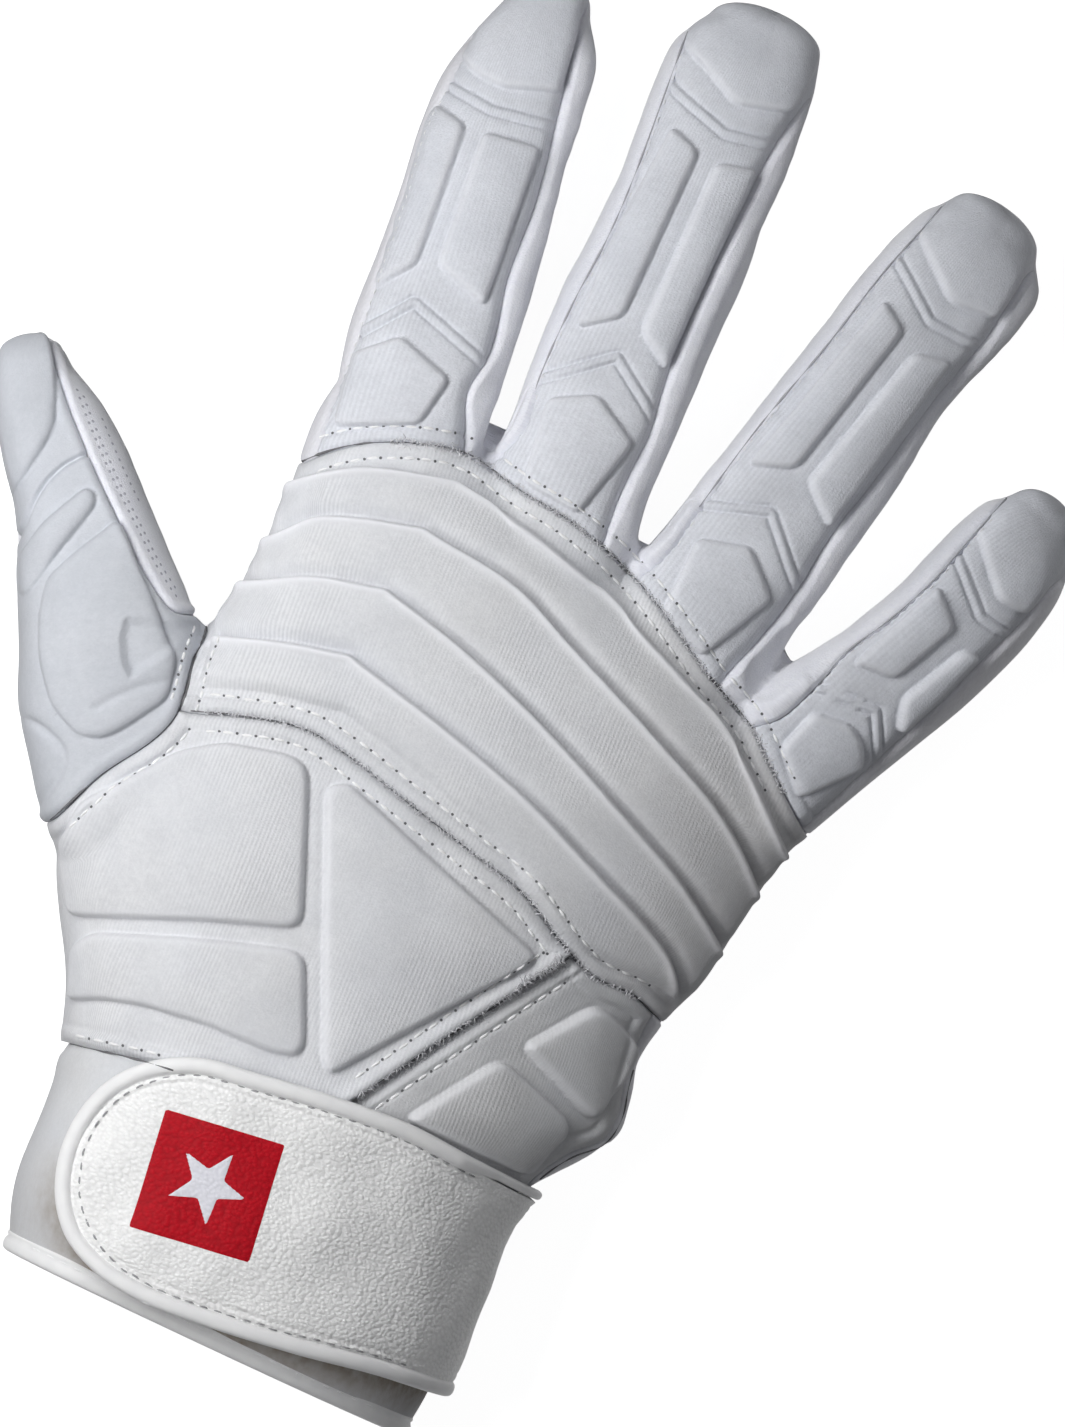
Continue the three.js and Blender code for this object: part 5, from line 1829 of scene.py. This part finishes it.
def stitches(line, pitch=STITCH_PITCH, length=STITCH_LONG, thick=0.25, seed=1):
    """The rings of a row of stitches along a line in plan, and where the holes between them are."""
    rng = np.random.default_rng(seed)
    starts = np.arange(pitch / 2, distance_along(line)[-1] - length, pitch)
    starts = starts + rng.normal(0, 0.12, len(starts))
    plan = points_at(line, starts[:, None] + np.linspace(0, 1, 5) * length)
    plan += rng.normal(0, 0.06, (len(starts), 1, 2))
    spots, out = (values.reshape(-1, 5, 3) for values in on_cloth(plan.reshape(-1, 2)))
    found = (spots[:, :, 2] > SIDE_SEAM_Z).all(1) & (np.ptp(spots[:, :, 2], axis=1) < 3)
    spots, out = spots[found], out[found]
    spots = spots + out * ARCH_OUT[None, :, None]
    side = unit(np.cross(out, unit(np.gradient(spots, axis=1))))
    return thread_rings(spots, out, side, 6, thick * THICKNESS), starts + (length + pitch) / 2


def threads(name, rows, finish):
    """One mesh of many short tubes."""
    parts = []
    for rings in rows:
        count, steps, ring = rings.shape[:3]
        one = np.vstack([halves(tube_quads(steps, ring)), tube_ends(steps, ring)])
        tris = one[None] + np.arange(count)[:, None, None] * steps * ring
        parts.append((rings.reshape(-1, 3), tris.reshape(-1, 3)))
    points, tris = joined(parts)
    return new_object(name, points, tris, finish, points)


# %% [markdown]
# A needle hole is a tiny disc painted dark as its shade, a fan of eight triangles that stands
# just proud of the cloth. A real hole in the mesh would cost far more and look the same at this size.

# %% Needle holes
HOLE_SIDES = 8
HOLE_SIZE = 0.27


def holes_along(line, at, size=HOLE_SIZE):
    """Points and triangles of needle holes at distances along a line in plan."""
    at = at[at < distance_along(line)[-1]]
    spots, outs = on_cloth(points_at(line, at))
    found = (spots[:, 2] > SIDE_SEAM_Z) & (outs[:, 2] > 0.4)
    spots, outs = spots[found][:, None], outs[found][:, None]
    sides = unit(np.cross(outs, [0.0, 1.0, 0.1]))
    turn = np.linspace(0, 2 * np.pi, HOLE_SIDES, endpoint=False)[:, None]
    rim = spots + np.cross(sides, outs) * np.cos(turn) * size + sides * np.sin(turn) * size + outs * 0.03
    points = np.concatenate([spots + outs * 0.12, rim], 1)
    fan = np.arange(HOLE_SIDES)
    one = np.column_stack([np.zeros_like(fan), (fan + 1) % HOLE_SIDES + 1, fan + 1])
    tris = one[None] + np.arange(len(points))[:, None, None] * (HOLE_SIDES + 1)
    return points.reshape(-1, 3), tris.reshape(-1, 3)


# %% [markdown]
# No light comes to the bottom of a seam, where two edges are pulled together. A thin uneven dark
# cord lies there, so that the seams keep their shade in any light. Beside the fingers it is pale,
# because those seams are shallow.

# %% Shaded gaps in the seams
def seam_gap(line, width, above=-0.05):
    """A cord at the bottom of a seam, as points and triangles. Where a ray falls through the seam
    into the glove, the height comes from the seam on both sides of that place."""
    plan = even(line, 0.5)
    heights = height_at(plan)
    found = np.flatnonzero(heights > SIDE_SEAM_Z + 1)
    reach = np.arange(found[0], found[-1] + 1)
    spots = np.column_stack([plan[reach], np.interp(reach, found, heights[found]) + above])
    ahead = unit(np.gradient(spots, axis=0))
    side = unit(np.cross([0.0, 0.0, 1.0], ahead))
    out = np.cross(ahead, side)
    ring_angle = np.linspace(0, 2 * np.pi, 6, endpoint=False)
    ring = np.column_stack([np.cos(ring_angle), np.sin(ring_angle)]) * width / 2
    size = np.clip(0.75 + 0.4 * waves(spots[:, :2], 71, 6), 0.25, 1.4)
    return sweep(spots, out, side, ring, False, size)


SEAM_GAPS = [  # line, its two ends, width of the gap
    (KNUCKLE_SEAM, (-37, 22), (62, 0), 0.6),
    (MIDHAND_SEAM, (-39, -23.6), (55, -42), 0.42),
    (SLANT_SEAM, (14, -71.5), (36, -38), 0.9),
    (CUFF_SEAM, (-37, -84), (-19, -81), 0.42),
    (THUMB_EDGE, (-54, -50), (-42.5, -9), 0.42),
    (FLAP_EDGE, (46, -76), (54, -52), 0.42),
]
gaps = [seam_gap(part_of(line, start, end), width) for line, start, end, width in SEAM_GAPS]
points, tris = joined(gaps)
new_object("seam_gaps", points, tris, SEAM_SHADE, points)
gaps = []
for finger in ("middle", "ring", "little"):
    line = FINGER_LINES[finger, "left"]
    s, _ = finger_place(finger, line)
    gaps.append(seam_gap(line[s > 3], 0.32, 0.02))
points, tris = joined(gaps)
new_object("finger_seam_gaps", points, tris, FINGER_SHADE, points)

# %% [markdown]
# Every seam on the back is topstitched, mostly on both sides. The table says which line a row
# follows, from where to where, and how far to its left. The threads are white, and between each
# two stitches the needle has left a hole, painted as a dark disc of shade.

# %% Rows of stitches
BACK_ROWS = [  # line, its two ends, how far beside it, pitch, length, seed
    (KNUCKLE_SEAM, (-35, 24), (60, 1), 2.7, STITCH_PITCH, STITCH_LONG, 1),
    (KNUCKLE_SEAM, (-37, 22), (60, 1), -2.7, STITCH_PITCH, STITCH_LONG, 2),
    (MIDHAND_SEAM, (-38, -23), (52, -41), 3.0, STITCH_PITCH, STITCH_LONG, 3),
    (MIDHAND_SEAM, (-38, -23), (36, -37), -3.1, STITCH_PITCH, STITCH_LONG, 4),
    (THUMB_EDGE, (-54, -50), (-41, -26), -3.1, STITCH_PITCH, STITCH_LONG, 5),
    (SLANT_SEAM, (12, -74), (36, -39), 2.9, STITCH_PITCH, STITCH_LONG, 6),
    (SLANT_SEAM, (12, -74), (36, -39), -3.4, STITCH_PITCH, STITCH_LONG, 7),
    (CUFF_SEAM, (-37, -84), (-20, -81), 1.7, STITCH_PITCH, STITCH_LONG, 9),
    (CROTCH_RISE, (-41, -24), (-42.8, -9), -2.6, 2.4, 1.5, 10),
    (CROTCH_RISE, (-41, -24), (-42.8, -9), 2.0, 2.4, 1.5, 11),
]
rows, holes = [], []
for line, start, end, beside, pitch, length, seed in BACK_ROWS:
    line = offset_line(part_of(line, start, end), beside)
    rings, at = stitches(line, pitch, length, seed=seed)
    rows.append(rings)
    holes.append(holes_along(line, at))
hem_x = np.arange(-31, 37, 1.0)
hem_row = np.column_stack([hem_x, HEM_TOP_Y - 0.3 - HEM_SLOPE * hem_x])
rows.append(stitches(hem_row, 2.6, 1.8, thick=0.16, seed=12)[0])
threads("back_stitches", rows, PALE_THREAD)

rows = []
for finger, start, end in (("index", 4, 60), ("middle", 4, 74), ("ring", 4, 74), ("little", 6, 54)):
    line = FINGER_LINES[finger, "left"]
    s, _ = finger_place(finger, line)
    row = offset_line(line[(s > start) & (s < end)], -0.5)
    rows.append(stitches(row, SEAM_PITCH, 1.2, thick=0.13, seed=8)[0])
threads("finger_seam_stitches", rows, THREAD)

row = offset_line(STRAP_LINE[STRAP_LINE[:, 0] < 38], SHEET_IN + 1.1)
rings, _ = stitches(row, 2.5, 1.7, thick=0.17, seed=13)
strap_threads = threads("strap_stitches", [rings], GREY_THREAD)

# %% [markdown]
# The needle holes are joined in one mesh. The gusset has rows of holes of another kind: its cloth
# is knitted open there, so that the hand stays dry. These holes are grey discs of painted shade.

# %% Rows of holes
GUSSET_ROWS = [(-2.0, 0.0), (-2.7, 0.75), (-4.3, 0.3), (-5.0, 1.05)]  # how far inside, shift along
points, tris = joined(holes)
new_object("back_needle_holes", points, tris, NEEDLE_HOLE_SHADE, points)
line = part_of(THUMB_EDGE, (-81, 20), (-46, -6))
along = np.arange(1.5, 44, 1.5)
holes = [holes_along(offset_line(line, inward), along + shift, 0.3) for inward, shift in GUSSET_ROWS]
points, tris = joined(holes)
mesh_holes = new_object("gusset_mesh_holes", points, tris, MESH_HOLE_SHADE, points)

# %% [markdown]
# A cut edge of stretch cloth is overlocked, and its loops fray in use. Hundreds of very short
# fibres lie over the open seams, each a small arch of three points, turned every way.

# %% Overlocked edges
FIBRE = 0.075


def overlock(line, width, pitch, seed):
    """The rings of short loose fibres along a seam."""
    rng = np.random.default_rng(seed)
    at = np.arange(0, distance_along(line)[-1], pitch)
    at = at + rng.normal(0, pitch / 3, len(at))
    middle = points_at(line, at)
    ahead = unit(points_at(line, at + 0.3) - middle + 1e-6)
    left = np.column_stack([-ahead[:, 1], ahead[:, 0]])
    middle = middle + left * rng.normal(0, width / 4, (len(at), 1))
    angle = rng.uniform(-1.3, 1.3, (len(at), 1))
    reach = (left * np.cos(angle) + ahead * np.sin(angle)) * rng.uniform(0.25, 0.6, (len(at), 1))
    plan = np.stack([middle - reach, middle, middle + reach], 1)
    spots, out = (values.reshape(-1, 3, 3) for values in on_cloth(plan.reshape(-1, 2)))
    top = spots[:, :, 2].max(1, keepdims=True)
    spots[:, :, 2] = np.maximum(spots[:, :, 2], top - 0.5)  # no end hangs down into the seam
    spots[:, 1, 2] = spots[:, [0, 2], 2].mean(1) + 0.2  # each fibre is a small arch
    side = unit(np.column_stack([-reach[:, 1], reach[:, 0], np.zeros(len(at))]))[:, None]
    return thread_rings(spots, out, side, 4, FIBRE)[top[:, 0] > SIDE_SEAM_Z]


OVERLOCKED = [  # line, its two ends, how far beside it, width, pitch
    (KNUCKLE_SEAM, (-24, 31), (12, 29), 0, 1.5, 0.14),
    (KNUCKLE_SEAM, (12, 29), (60, 1), 0, 1.0, 0.2),
    (MIDHAND_SEAM, (-36, -23), (50, -41), 0, 0.9, 0.25),
    (SLANT_SEAM, (12, -74), (36, -39), -0.4, 1.3, 0.13),
    (SLANT_SEAM, (30, -47), (36, -39), 0, 2.2, 0.08),
]
rows = [
    overlock(offset_line(part_of(line, start, end), beside), width, pitch, seed)
    for seed, (line, start, end, beside, width, pitch) in enumerate(OVERLOCKED, 61)
]
threads("seam_overlock_fuzz", rows, FUZZ)

# %% [markdown]
# The thin pieces are sheets: each was cut flat and sewn into its place.

# %% [markdown]
# In the photograph the back is brightest on the thumb's side and falls off to the little finger,
# which tells of one soft light close above the upper left. Weak ones from above and from the
# fingertips' side and an even pale surrounding open the shadows. The floor is pale enough to vanish.


# %% Floor and light
def pale_floor():
    """A floor that glows a little, so that it stays white under the glove's own shadow."""
    half = 1500
    points = [(-half, -half, 0), (half, -half, 0), (half, half, 0), (-half, half, 0)]
    mesh = bpy.data.meshes.new("floor")
    mesh.from_pydata([(x * MM, y * MM, z - 0.0002) for x, y, z in points], [], [(0, 1, 2, 3)])
    floor = bpy.data.objects.new("floor", mesh)
    bpy.context.scene.collection.objects.link(floor)
    recipe = Recipe("pale_floor")
    place = recipe.node("TexCoord").outputs["Object"]
    colour = recipe.blend(recipe.noise(place, 3.0), (0.40, 0.40, 0.40), (0.44, 0.44, 0.44))
    floor.data.materials.append(recipe.finish(colour, 0.9))
    recipe.shader.inputs["Emission Color"].default_value = (1, 1, 1, 1)
    recipe.shader.inputs["Emission Strength"].default_value = 0.92
    floor.visible_diffuse = False  # its bounce would wash out the dark edges of the glove


def soft_light(name, direction, distance, length, width, power):
    """A soft box, with its length along the hand."""
    data = bpy.data.lights.new(name, "AREA")
    data.shape = "RECTANGLE"
    data.size = length
    data.size_y = width
    data.energy = power
    lamp = bpy.data.objects.new(name, data)
    away = Vector(direction).normalized()
    lamp.location = Vector((CENTRE[0] * MM, CENTRE[1] * MM, 0.02)) + away * distance
    lamp.rotation_euler = away.to_track_quat("Z", "Y").to_euler()
    bpy.context.scene.collection.objects.link(lamp)


pale_floor()
soft_light("key_light", (-0.2, 0.0, 0.27), 0.36, 0.42, 0.14, 1.25)
soft_light("top_light", (0.1, -0.2, 1.0), 1.8, 1.6, 1.6, 0.8)
soft_light("finger_light", (0.5, 0.75, 0.45), 0.5, 0.3, 0.3, 0.22)
world = bpy.data.worlds.new("surround")
world.use_nodes = True
world.node_tree.nodes["Background"].inputs[0].default_value = (0.96, 0.97, 1.0, 1)
world.node_tree.nodes["Background"].inputs[1].default_value = 0.11
bpy.context.scene.world = world
bpy.context.scene.view_settings.view_transform = "Standard"
